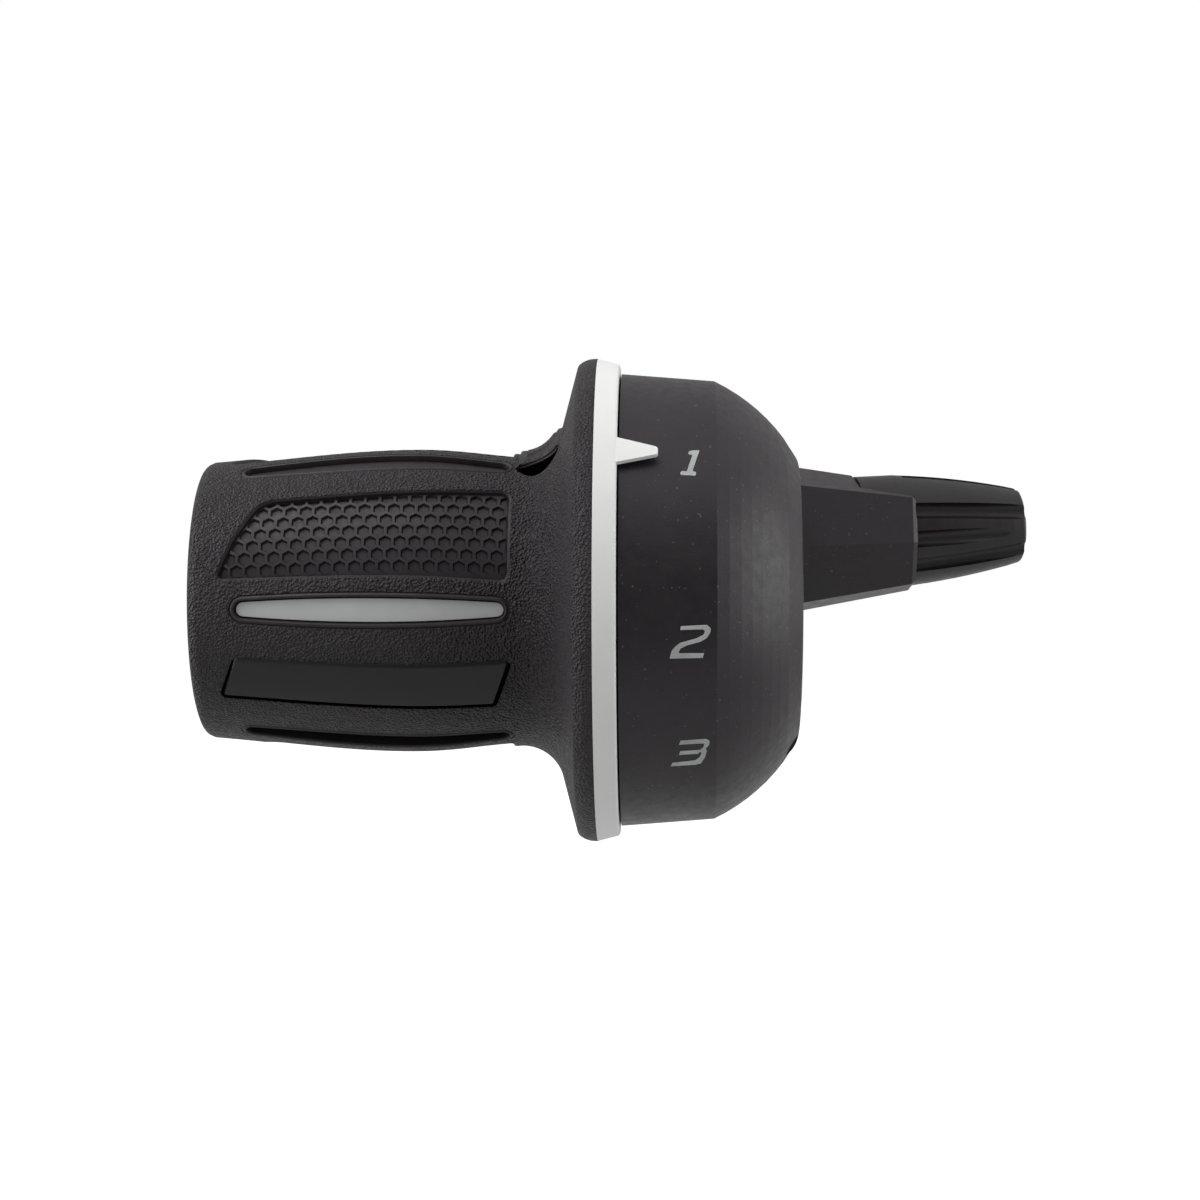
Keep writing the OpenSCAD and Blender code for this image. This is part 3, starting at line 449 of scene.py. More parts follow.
@dataclass(frozen=True)
class Rubber:
    """Black rubber with a pebbled grain that smooth places don't have.

    Attributes:
        name: Name of the finish.
        colour: Its colour.
        cloud: The colour where it is worn paler.
        rough: Lowest and highest roughness.
        pebble_mm: Size of the pebbles.
        depth_mm: Depth of the pebbles.
        specular: Strength of its gloss.
    """

    name: str
    colour: Triple
    cloud: Triple
    rough: tuple[float, float]
    pebble_mm: float = 0.3
    depth_mm: float = 0.36
    specular: float = 0.38

    def material(self) -> bpy.types.Material:
        """Makes the material. It reads where the mesh is grained from the mesh's own layer."""
        g = Graph(self.name)
        g.shader.inputs["Specular IOR Level"].default_value = self.specular
        g.join(g.blend(g.ramp(g.noise(2.6, 4.0), 0.38, 0.72, 0.0, 1.0), self.colour, self.cloud),
               g.shader.inputs["Base Color"])
        g.join(g.ramp(g.noise(0.9, 3.0), 0.3, 0.7, *self.rough), g.shader.inputs["Roughness"])
        layer = g.tree.nodes.new("ShaderNodeAttribute")
        layer.attribute_name = "grain"
        lumps = g.combine(g.pebbles(self.pebble_mm), g.ramp(g.noise(0.22, 2.0), 0.2, 0.8, 0.0, 0.5), "ADD")
        g.bump(g.combine(lumps, layer.outputs["Fac"], "MULTIPLY"), self.depth_mm)
        return g.material


@dataclass(frozen=True)
class Metal:
    """Turned or drawn metal with faint tool lines.

    Attributes:
        name: Name of the finish.
        colour: Its colour.
        stain: Its darker colour in patches.
        rough: Lowest and highest roughness.
        lines: Scale of the tool lines along X, Y and Z.
    """

    name: str
    colour: Triple
    stain: Triple
    rough: tuple[float, float]
    lines: Triple = (1.0, 1.0, 0.05)

    def material(self) -> bpy.types.Material:
        """Makes the material."""
        g = Graph(self.name)
        g.shader.inputs["Metallic"].default_value = 1.0
        g.join(g.blend(g.ramp(g.noise(1.4, 4.0), 0.35, 0.7, 0.0, 1.0), self.colour, self.stain),
               g.shader.inputs["Base Color"])
        lines = g.noise(0.12, 2.0, g.stretched(*self.lines))
        g.join(g.ramp(lines, 0.25, 0.75, *self.rough), g.shader.inputs["Roughness"])
        g.bump(lines, 0.006)
        return g.material


class Finish(Enum):
    """The finishes of the shifter."""

    SHELL = Moulded("shell_plastic", (0.0110, 0.0074, 0.0102), (0.0150, 0.0108, 0.0140), (0.35, 0.46),
                    specular=0.42, dust=0.008)
    KNOB = Moulded("knob_plastic", (0.0078, 0.0056, 0.0071), (0.0112, 0.0086, 0.0104), (0.32, 0.42),
                   specular=0.42)
    SPOOL = Moulded("spool_plastic", (0.02, 0.02, 0.02), (0.027, 0.027, 0.027), (0.35, 0.5))
    RING = Moulded("ring_plastic", (0.84, 0.845, 0.835), (0.81, 0.815, 0.805), (0.38, 0.5), 0.3, 0.006, 0.35)
    BARREL = Moulded("barrel_plastic", (0.58, 0.585, 0.585), (0.54, 0.545, 0.545), (0.34, 0.46), 0.3,
                     0.006, 0.4)
    LINER = Moulded("liner_plastic", (0.62, 0.60, 0.54), (0.56, 0.54, 0.48), (0.3, 0.42), 0.3, 0.005)
    PRINT = Moulded("number_paint", (0.52, 0.53, 0.53), (0.36, 0.37, 0.37), (0.5, 0.62), 0.12, 0.02, 0.3)
    GRIP = Rubber("grip_rubber", (0.0116, 0.0084, 0.0107), (0.0186, 0.0146, 0.0174), (0.4, 0.56))
    PLAQUE = Moulded("plaque_plastic", (0.0085, 0.007, 0.0082), (0.0105, 0.009, 0.0102), (0.14, 0.24),
                     1.2, 0.004, 0.34)
    # Near-black rubber that is painted shade: it darkens the inside of the slit and the hole beside the flap, and
    # paints the shadow along the plaque's lower edge.
    PAINTED_SHADE = Moulded("slit_painted_shade", (0.0022, 0.0020, 0.0022), (0.0032, 0.0030, 0.0032), (0.7, 0.8),
                   specular=0.0)
    # Darker rubber that is painted shade inside the lower finger groove, which faces down; the other grooves keep
    # the plain grip rubber.
    GROOVE_PAINTED_SHADE = Moulded("groove_painted_shade", (0.0060, 0.0045, 0.0055), (0.0084, 0.0066, 0.0078), (0.6, 0.75),
                     specular=0.14)
    STEEL = Metal("plated_steel", (0.56, 0.57, 0.58), (0.42, 0.43, 0.44), (0.26, 0.42))
    SPRING = Metal("spring_steel", (0.46, 0.47, 0.48), (0.34, 0.34, 0.35), (0.3, 0.45))
    BRASS = Metal("turned_brass", (0.72, 0.53, 0.24), (0.55, 0.4, 0.18), (0.24, 0.4), (0.05, 1.0, 1.0))


class Coat(IntEnum):
    """Material slots of the grip's cover, of which the last two are painted shade: near black in the hollows and
    under the plaque, and darker in the lower finger groove.
    """

    GRIP = 0
    PLAQUE = 1
    PAINTED_SHADE = 2
    GROOVE_PAINTED_SHADE = 3


class Dresser:
    """Makes each finish once and hands it out."""

    def __init__(self) -> None:
        """Starts with nothing made."""
        self.made: dict[Finish, bpy.types.Material] = {}

    def get(self, finish: Finish) -> bpy.types.Material:
        """Returns the material of a finish."""
        if finish not in self.made:
            self.made[finish] = finish.value.material()
        return self.made[finish]

    def dress(self, piece: Item, *finishes: Finish) -> None:
        """Gives a piece its finishes, one a material slot.

        Args:
            piece: Object to dress.
            *finishes: Its finishes, in the order of its slots.
        """
        materials = piece.data.materials
        for i, finish in enumerate(finishes):
            if i < len(materials):
                materials[i] = self.get(finish)
            else:
                materials.append(self.get(finish))

    def dress_node(self, node: Item, finish: Finish) -> None:
        """Gives every slot of a frame node one finish."""
        if not node.data.materials:
            node.data.materials.append(None)
        for i in range(len(node.data.materials)):
            node.data.materials[i] = self.get(finish)


class Turned:
    """Surface of revolution about the bar, read by its length along the outline."""

    def __init__(self, outline: Outline) -> None:
        """Stores an outline of places along the bar and radii, in order."""
        self.xr = np.array(outline, float)
        self.length = np.concatenate([[0.0], np.cumsum(np.linalg.norm(np.diff(self.xr, axis=0), axis=1))])
        edge = np.diff(self.xr, axis=0)
        edge /= np.linalg.norm(edge, axis=1)[:, None]
        normal = np.stack([-edge[:, 1], edge[:, 0]], axis=1)
        mean = np.concatenate([normal[:1], (normal[1:] + normal[:-1]) / 2, normal[-1:]])
        self.normal = mean / np.linalg.norm(mean, axis=1)[:, None]

    def at(self, s: float) -> tuple[float, float, float, float]:
        """Gives the place, radius and the two parts of the normal at a length along the outline."""
        x = float(np.interp(s, self.length, self.xr[:, 0]))
        r = float(np.interp(s, self.length, self.xr[:, 1]))
        nx = float(np.interp(s, self.length, self.normal[:, 0]))
        nr = float(np.interp(s, self.length, self.normal[:, 1]))
        size = math.hypot(nx, nr)
        return x, r, nx / size, nr / size

    def point(self, s: float, turn: float, height: float = 0.0) -> Vector:
        """Gives a point of the surface, raised along its normal.

        Args:
            s: Length along the outline, in millimetres.
            turn: Turn about the bar, in degrees.
            height: Height above the surface, in millimetres.

        Returns:
            The point, in metres.
        """
        x, r, nx, nr = self.at(s)
        return on_bar(x + nx * height, r + nr * height, math.radians(turn))


@dataclass
class Feature:
    """A shape on the grip's rubber, bounded by nested outlines.

    Attributes:
        outline: Outline along the bar and round the grip, about the feature's own turn.
        turn: Turn of the feature.
        steps: Distance from the outline and height of each nested ring, from outside to inside.
        floor: Height of the surface inside the last ring.
        smooth: Whether the inside has no grain.
        coat: Material slot of the inside.
        pits: Whether the inside is a honeycomb.
        tilts: Rise of each ring for each millimetre up round the grip, or nothing for level rings. A
            tilted feature keeps the grain up to its groove's floor.
        shade: How far beyond the outline the painted shadow reaches, except along its upper side; it is coloured
            with the near-black painted-shade finish.
        shift: How far its groove lies below the outline, which makes the groove wider along the lower side.
    """

    outline: Outline
    turn: float
    steps: list[tuple[float, float]]
    floor: float
    smooth: bool = True
    coat: Coat = Coat.GRIP
    pits: bool = False
    tilts: tuple[float, ...] = ()
    shade: float = 0.0
    shift: float = 0.0

    def ring(self, distance: float) -> Outline:
        """Returns the outline grown by a distance, about the feature's own turn."""
        shift = self.shift if distance > SHIFTED_FROM else 0.0
        return [(x, y - shift) for x, y in grown(spaced(self.outline, RING_STEP), distance)]


@dataclass
class GripCover:
    """Rubber cover of the grip, from the open end to the rim beside the ring."""

    end_r: float = 15.35
    belly_r: float = 17.2
    waist_r: float = 16.3
    rim_r: float = 26.9
    bore_r: float = 13.45
    flange_r: float = 23.91
    flange_t: float = 1.55
    belly_from_end: float = 24.0
    end_round: float = 1.0
    flare_round: float = 4.8
    flare_slope: float = 72.0
    rim_round: float = 1.6
    rim_flat: float = 0.3
    crown_round: float = 2.6
    crown_slope: float = 38.0
    edge_round: float = 0.7
    window_turn: float = -3.7
    upper_step: float = 65.7
    lower_step: float = 61.0
    window_from_end: float = 5.25
    window_end_h: float = 0.95
    window_mid_h: float = 1.45
    window_from_ring: float = 9.5
    pad_from_end: float = 3.3
    pad_from_ring: float = 9.3
    pad_h: float = 10.6
    pad_slant: float = 4.4
    pad_fall: float = 1.2
    pad_lift: float = 0.55
    pad_knee: Point = (0.36, 0.42)
    pad_drop: float = 3.0
    plaque_from_end: float = 3.4
    plaque_from_ring: float = 9.1
    plaque_h: float = 5.2
    plaque_slant: float = 1.8
    plaque_drop: float = 0.6
    plaque_share: float = 0.47
    flap_turn: float = 60.4
    flap_from_flare: float = -0.3
    flap_len: float = 4.7
    flap_rise: float = 1.0
    flap_drop: float = 1.75
    hood_h: float = 13.5
    hood_gap: float = 0.17
    hood_inset: float = 0.15
    hole_lift: float = 1.6
    ridge_turn: float = 73.5
    ridge_pitch: float = 2.6
    ridge_w: float = 0.26
    ridge_len: float = 3.3
    pit_pitch: float = 1.6
    pit_wall: float = 0.3
    grain_from: float = 0.7
    grain_fade: float = 0.6
    columns: int = 208
    flat_r: float = 16.5
    seam_turn: float = 169.7
    x0: float = field(init=False, default=-66.0)
    x1: float = field(init=False, default=-22.2)

    def __post_init__(self) -> None:
        """Reads the cover's ends from the frame and draws its outline."""
        low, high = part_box("grip_cover")
        self.x0, self.x1 = low[0] / MM, high[0] / MM
        self.belly_x = self.x0 + self.belly_from_end
        slope = math.radians(self.flare_slope)
        rim_x = self.x1 - self.rim_flat
        rise = (self.rim_r - self.rim_round - self.waist_r - self.flare_round
                + (self.rim_round + self.flare_round) * math.cos(slope))
        self.flare_x = rim_x - (self.rim_round + self.flare_round) * math.sin(slope) - rise / math.tan(slope)
        end = self.skin_r(self.x0)
        outline: Outline = [(self.x0, self.bore_r), (self.x0, end - self.end_round)]
        outline += [(self.x0 + self.end_round * (1 - math.cos(a)), end - self.end_round * (1 - math.sin(a)))
                    for a in (math.radians(15 * i) for i in range(1, 6))]
        count = 52
        start = self.x0 + self.end_round
        places = [start + (self.flare_x - start) * i / count for i in range(count + 1)]
        outline += [(x, self.skin_r(x)) for x in places]
        outline += [(self.flare_x + self.flare_round * math.sin(a),
                     self.waist_r + self.flare_round * (1 - math.cos(a)))
                    for a in (slope * i / 10 for i in range(1, 11))]
        crown = math.radians(self.crown_slope)
        edge = (rim_x - self.crown_round * math.sin(crown),
                self.rim_r - self.crown_round * (1 - math.cos(crown)))
        last = (edge[0] - self.edge_round * (math.sin(slope) - math.sin(crown)),
                edge[1] - self.edge_round * (math.cos(crown) - math.cos(slope)))
        first = outline[-1]
        outline += [(first[0] + (last[0] - first[0]) * k / 4, first[1] + (last[1] - first[1]) * k / 4)
                    for k in range(1, 4)]
        outline += [(edge[0] - self.edge_round * (math.sin(a) - math.sin(crown)),
                     edge[1] - self.edge_round * (math.cos(crown) - math.cos(a)))
                    for a in (slope + (crown - slope) * i / 4 for i in range(4))]
        outline += [(rim_x - self.crown_round * math.sin(a),
                     self.rim_r - self.crown_round * (1 - math.cos(a)))
                    for a in (crown * (1 - i / 5) for i in range(6))]
        outline += [(self.x1, self.rim_r)]
        self.surface = Turned(outline)

    def swell(self, t: float) -> float:
        """Share of the swell reached at share t of the way to the belly."""
        return (1 - math.cos(math.pi * t)) / 4 + (1 - (1 - t) ** 2) / 2

    def skin_r(self, x: float) -> float:
        """Radius of the rubber at a place between the grip's end and the waist."""
        if x < self.belly_x:
            return self.end_r + (self.belly_r - self.end_r) * self.swell((x - self.x0) / self.belly_from_end)
        return self.waist_r + (self.belly_r - self.waist_r) * self.swell(
            (self.flare_x - x) / (self.flare_x - self.belly_x))

    def boat(self) -> Outline:
        """Outline of a window, as places along the bar and round the grip."""
        x0, x1, r = self.x0 + self.window_from_end, self.x1 - self.window_from_ring, self.window_end_h
        mid, reach = (x0 + x1) / 2, (x1 - x0) / 2 - r

        shares = [i / 24 for i in range(-24, 25)]
        top = [(mid + s * reach, r + (self.window_mid_h - r) * (1 - s * s)) for s in shares]
        right = [(mid + reach + r * math.cos(a), r * math.sin(a))
                 for a in (math.radians(90 - 15 * i) for i in range(1, 12))]
        return (top + right + [(x, -y) for x, y in reversed(top)]
                + [(2 * mid - x, y) for x, y in reversed(right)])

    def pad(self) -> Outline:
        """Outline of a honeycomb pad, with its slanting outer end."""
        x0, x1, h = self.x0 + self.pad_from_end, self.x1 - self.pad_from_ring, self.pad_h / 2
        knee = (x0 + self.pad_knee[0] * self.pad_slant, self.pad_knee[1] * self.pad_h - h)
        return rounded([(x0, self.pad_lift - h), (x1, -h), (x1, h),
                        (x0 + self.pad_slant, h - self.pad_fall), knee], [0.4, 0.8, 0.8, 2.4, 2.4])

    def plaque(self) -> Outline:
        """Outline of the plain plaque."""
        x0, x1, h = self.x0 + self.plaque_from_end, self.x1 - self.plaque_from_ring, self.plaque_h / 2
        drop = self.plaque_drop / 2
        return rounded([(x0, drop - h), (x1 - self.plaque_slant, -drop - h), (x1, h),
                        (x0 + self.plaque_slant, h)], [0.4] * 4)

    def crescent(self) -> Outline:
        """Outline of the slit under the flap that is peeled back to change the cable."""
        x0, shares = self.flare_x + self.flap_from_flare, [i / 16 for i in range(17)]
        upper = [(x0 + self.flap_len * t, 4 * self.flap_rise * t * (1 - t)) for t in shares]
        lower = [(x0 + self.flap_len * t, -4 * self.flap_drop * t * (1 - t)) for t in reversed(shares[1:-1])]
        return upper + lower

    def hood(self) -> Outline:
        """Outline of the flap itself, which stands a little proud above the slit."""
        x0, shares = self.flare_x + self.flap_from_flare, [i / 12 for i in range(13)]
        start = x0 + self.hood_inset
        lower = [(max(x0 + self.flap_len * t, start), self.hood_gap + 4 * self.flap_rise * t * (1 - t))
                 for t in shares]
        return lower + [(x0 + self.flap_len, self.hood_h), (start, self.hood_h)]

    def ridge(self) -> Outline:
        """Outline of one of the fine ridges on the flap."""
        x0, half, r = self.flare_x + self.flap_from_flare + 1.1, self.ridge_w / 2, self.ridge_w * 0.4
        x1 = x0 + self.ridge_len
        return rounded([(x0, -half), (x1, -half), (x1, half), (x0, half)], [r, r, r, r])

    def notch(self) -> Outline:
        """Outline of the small hole beside the flap's inner corner."""
        x, r = self.flare_x + self.flap_from_flare + self.flap_len + 0.42, 0.17
        return [(x + r * math.cos(a), 1.6 * r * math.sin(a)) for a in (math.radians(45 * i) for i in range(8))]

    def features(self) -> list[Feature]:
        """Lists every shape on the rubber.

        Returns:
            The windows, finger grooves, pads and plaque, and the flap with its slit, ridges and hole.
        """
        upper, lower = self.window_turn + self.upper_step, self.window_turn - self.lower_step
        step = (360 - self.upper_step - self.lower_step) / 4
        lip = [(0.56, 0.0), (0.48, -0.05), (0.42, -0.055), (0.32, 0.04), (0.17, 0.07), (0.05, 0.0), (0.0, -0.16)]
        window = lip + [(-0.03, -1.0)]
        trench = lip + [(-0.04, -1.15), (-0.2, -1.2), (-0.27, -0.66), (-0.36, -0.52)]
        deep = lip + [(-0.04, -1.1), (-0.3, -1.25)]
        slit = [(0.05, 0.0), (0.0, -0.15), (-0.03, -2.6)]
        flap = [(0.04, 0.0), (0.0, 0.1), (-0.06, 0.32), (-0.2, 0.38)]
        ridge = [(0.1, 0.38), (0.04, 0.48), (-0.05, 0.58)]
        hole = [(0.06, 0.0), (0.0, -0.08), (-0.03, -0.6)]
        pad = [(0.34, 0.0), (0.12, 0.0), (0.02, -0.1), (-0.02, -0.4)]
        plaque = [(0.4, 0.0), (0.3, -0.03), (0.25, -0.2), (0.02, -0.22), (-0.04, 0.0), (-0.2, 0.17)]
        out = [Feature(self.boat(), t, window, -1.0) for t in (self.window_turn, upper + step, lower - step)]
        out += [Feature(self.boat(), t, trench, -0.5) for t in (upper, lower - 2 * step)]
        # The lower finger groove is coloured with the darker painted shade, and the slit's inside with the
        # near-black painted shade.
        out += [Feature(self.boat(), lower, deep, -1.25, coat=Coat.GROOVE_PAINTED_SHADE),
                Feature(self.crescent(), self.flap_turn, slit, -2.6, coat=Coat.PAINTED_SHADE),
                Feature(self.hood(), self.flap_turn, flap, 0.38, smooth=False)]
        out += [Feature(self.ridge(), self.ridge_turn + self.ridge_pitch * i, ridge, 0.58) for i in range(3)]
        # The hole's inside is coloured with the near-black painted shade.
        out.append(Feature(self.notch(), self.flap_turn + self.hole_lift, hole, -0.6, coat=Coat.PAINTED_SHADE))
        out += [Feature(self.pad(), t, pad, -0.4, pits=True)
                for t in (self.window_turn + self.upper_step / 2 - self.pad_drop, upper + step / 2,
                          upper + 1.5 * step, lower - step / 2, lower - 1.5 * step)]
        # Below the plaque a band of near-black painted shadow is coloured in, as far as its shade distance and
        # widened downwards by its shift.
        out.append(Feature(self.plaque(), self.window_turn - self.plaque_share * self.lower_step, plaque, 0.17,
                           coat=Coat.PLAQUE, tilts=(0.0, 0.01, 0.07, 0.078, 0.01, -0.02), shade=0.31, shift=0.19))
        return out

    def around(self, turn: float) -> float:
        """Gives a turn's distance round the unrolled grip."""
        return math.radians((turn - self.seam_turn) % 360) * self.flat_r

    def flat(self, outline: Outline, turn: float) -> Outline:
        """Lays an outline along and round the grip on the unrolled surface.

        Args:
            outline: Places along the bar and distances round the grip, about the turn.
            turn: The feature's turn.

        Returns:
            Lengths along the surface's outline and round the unrolled grip.
        """
        out: Outline = []
        for x, y in outline:
            s = float(np.interp(x, self.surface.xr[8:74, 0], self.surface.length[8:74]))
            r = self.surface.at(s)[1]
            out.append((s, self.around(turn + math.degrees(math.asin(max(-1.0, min(1.0, y / r)))))))
        return out

    def honeycomb(self, feature: Feature) -> list[tuple[Outline, float, Outline, float]]:
        """Lays out the pits of one pad.

        Args:
            feature: The pad.

        Returns:
            For each pit its upper outline, that outline's height, its floor's outline and its height.
        """
        edge = grown(spaced(feature.outline, 0.9), -0.1)
        floor_edge = grown(spaced(feature.outline, 0.9), -0.18)
        if signed_area(edge) < 0:
            edge, floor_edge = edge[::-1], floor_edge[::-1]
        xs, ys = [p[0] for p in edge], [p[1] for p in edge]
        out = []
        row_pitch = self.pit_pitch * math.sqrt(3) / 2
        radius = (self.pit_pitch - self.pit_wall) / math.sqrt(3)
        rows = math.ceil(self.pad_h / row_pitch / 2) + 1
        for row in range(-rows, rows + 1):
            cy = (row + 0.05) * row_pitch
            cx = max(xs) - 0.95 - (0.5 * self.pit_pitch if row % 2 else 0.0) + 2 * self.pit_pitch
            while cx > min(xs) - self.pit_pitch:
                ring = [[(cx + f * radius * math.sin(a), cy + f * radius * math.cos(a))
                         for a in (math.radians(60 * k) for k in range(5, -1, -1))] for f in (1.0, 0.8)]
                top, bottom = clipped(ring[0], edge), clipped(ring[1], floor_edge)
                if len(bottom) > 2 and abs(signed_area(bottom)) / 2 > SMALLEST_PIT:
                    out.append((top, feature.floor + 0.04, bottom, feature.floor - 0.27))
                cx -= self.pit_pitch
        return out

    def build(self) -> Item:
        """Builds the cover as one closed mesh.

        Returns:
            The piece, which stands for the frame's plain cover.
        """
        surface, wide = self.surface, math.tau * self.flat_r
        points: Outline = []
        heights: list[float] = []
        grain: list[float] = []
        sides: list[tuple[int, int]] = []
        rings: list[np.ndarray] = []
        zones: list[tuple[Feature, np.ndarray]] = []

        def add_ring(ring: Outline, height: float, grained: float, middle: float = 0.0,
                     tilt: float = 0.0) -> None:
            """Adds one closed ring of points.

            Args:
                ring: The ring on the unrolled surface.
                height: Its height.
                grained: Its share of grain.
                middle: Place round the grip at which it has that height.
                tilt: Rise for each millimetre round the grip.
            """
            start = len(points)
            for p in ring:
                points.append(p)
                heights.append(height + tilt * (p[1] - middle))
                grain.append(grained)
            sides.extend((start + i, start + (i + 1) % len(ring)) for i in range(len(ring)))

        for feature in self.features():
            middle = self.around(feature.turn)
            tilts = feature.tilts or (0.0,) * len(feature.steps)
            for i, ((distance, height), tilt) in enumerate(zip(feature.steps, tilts)):
                ring = self.flat(feature.ring(distance), feature.turn)
                add_ring(ring, height, 1.0 if i == 0 or feature.tilts and i < 4 else 0.0, middle, tilt)
                rings.append(np.array(ring))
            zones.append((feature, rings[-1]))
            if feature.pits:
                for top, top_h, bottom, bottom_h in self.honeycomb(feature):
                    add_ring(self.flat(top, feature.turn), top_h, 0.0)
                    add_ring(self.flat(bottom, feature.turn), bottom_h, 0.0)

        columns = [wide * i / self.columns for i in range(self.columns + 1)]
        cells = np.array([(s, v) for s in surface.length for v in columns])
        edge = (cells[:, 1] < 1e-6) | (cells[:, 1] > wide - 1e-6) | (cells[:, 0] < 1e-6) | (
            cells[:, 0] > surface.length[-1] - 1e-6)
        keep = np.ones(len(cells), bool)
        level = np.zeros(len(cells))
        rough = np.ones(len(cells))
        for ring in rings:
            near = bounded(cells, ring, 0.2)
            near = near[~edge[near]]
            if len(near):
                keep[near[clearance(cells[near], ring) < RING_CLEAR]] = False
        for feature, ring in zones:
            near = bounded(cells, ring)
            within = near[inside(cells[near], ring)] if len(near) else near
            middle = self.around(feature.turn)
            tilt = feature.tilts[-1] if feature.tilts else 0.0
            level[within] = feature.floor + tilt * (cells[within, 1] - middle)
            rough[within] = 0.0 if feature.smooth else 1.0
            if feature.pits:
                keep[within] = False
        outer = [np.array(self.flat(f.ring(f.steps[0][0]), f.turn)) for f, _ in zones]
        for (feature, _), ring in zip(zones, outer):
            near = bounded(cells, ring)
            near = near[level[near] == 0.0]
            if len(near):
                keep[near[inside(cells[near], ring)]] = False
        for cell, height, grained in zip(cells[keep], level[keep], rough[keep]):
            points.append((float(cell[0]), float(cell[1])))
            heights.append(float(height))
            grain.append(float(grained) * min(1.0, max(0.0, (cell[0] - self.grain_from) / self.grain_fade)))
        made, _, faces, origin, _, _ = delaunay_2d_cdt([Vector(p) for p in points], sides, [], 0, 1e-6)
        level_of = [max(heights[i] for i in o) if o else -0.4 for o in origin]
        grain_of = [max(grain[i] for i in o) if o else 0.0 for o in origin]
        places = [surface.point(p.x, self.seam_turn + math.degrees(p.y / self.flat_r), h)
                  for p, h in zip(made, level_of)]
        middles = np.array([[sum(made[i].x for i in f) / len(f), sum(made[i].y for i in f) / len(f)]
                            for f in faces])
        coats = np.zeros(len(faces), np.int32)
        for feature, _ in zones:
            # Faces of the shifted ring below the plaque's upper side get the near-black painted shadow.
            if feature.shade:
                shaded = np.array(self.flat(feature.ring(feature.shade), feature.turn))
                upper_side = self.around(feature.turn) + self.plaque_h / 2 - 0.3
                coats[inside(middles, shaded) & (middles[:, 1] < upper_side)] = Coat.PAINTED_SHADE
            if feature.coat:
                coats[inside(middles, np.array(self.flat(feature.ring(0.01), feature.turn)))] = feature.coat
        return self.closed(places, faces, grain_of, coats)

    def closed(self, places: list[Vector], faces: list[tuple[int, ...]], grain: list[float],
               coats: np.ndarray) -> Item:
        """Closes the outer skin with the bore and the seat of the barrel's flange.

        Args:
            places: Points of the skin.
            faces: Faces of the skin.
            grain: Share of grain at each point.
            coats: Material slot of each face.

        Returns:
            The piece.
        """
        inner = [(self.x1, self.rim_r), (self.x1, self.flange_r), (self.x1 - self.flange_t, self.flange_r),
                 (self.x1 - self.flange_t, self.bore_r), (self.x0, self.bore_r)]
        start = len(places)
        skin_faces = len(faces)
        for x, r in inner:
            for i in range(self.columns):
                a = math.radians(self.seam_turn) + math.tau * i / self.columns
                places.append(on_bar(x, r, a))
                grain.append(0.0)
        rows = list(faces)
        for k in range(len(inner) - 1):
            for i in range(self.columns):
                j = (i + 1) % self.columns
                a, b = start + k * self.columns + i, start + k * self.columns + j
                rows.append((a, b, b + self.columns, a + self.columns))
        piece = make_piece("grip_rubber_cover", places, rows, "grip")
        mesh = piece.data
        layer = mesh.attributes.new("grain", "FLOAT", "POINT")
        layer.data.foreach_set("value", np.array(grain, np.float32))
        index = np.zeros(len(mesh.polygons), np.int32)
        index[:skin_faces] = coats[:len(mesh.polygons)]
        mesh.polygons.foreach_set("material_index", index)
        weld(piece, 2e-7)
        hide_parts("grip_cover")
        return piece


def weld(piece: Item, distance: float) -> None:
    """Merges points that coincide and turns every face outwards.

    Args:
        piece: Object to mend.
        distance: Distance within which points merge, in metres.
    """
    bm = bmesh.new()
    bm.from_mesh(piece.data)
    bmesh.ops.remove_doubles(bm, verts=bm.verts, dist=distance)
    bmesh.ops.recalc_face_normals(bm, faces=bm.faces)
    bm.to_mesh(piece.data)
    bm.free()
    piece.data.set_sharp_from_angle(angle=math.radians(SHARP))


@dataclass(frozen=True)
class Number:
    """One gear number printed on the housing's band.

    Attributes:
        name: Name of the piece.
        turn: Turn of its middle.
        outline: Its outline about its middle, along the bar and round the band.
    """

    name: str
    turn: float
    outline: tuple[Point, ...]


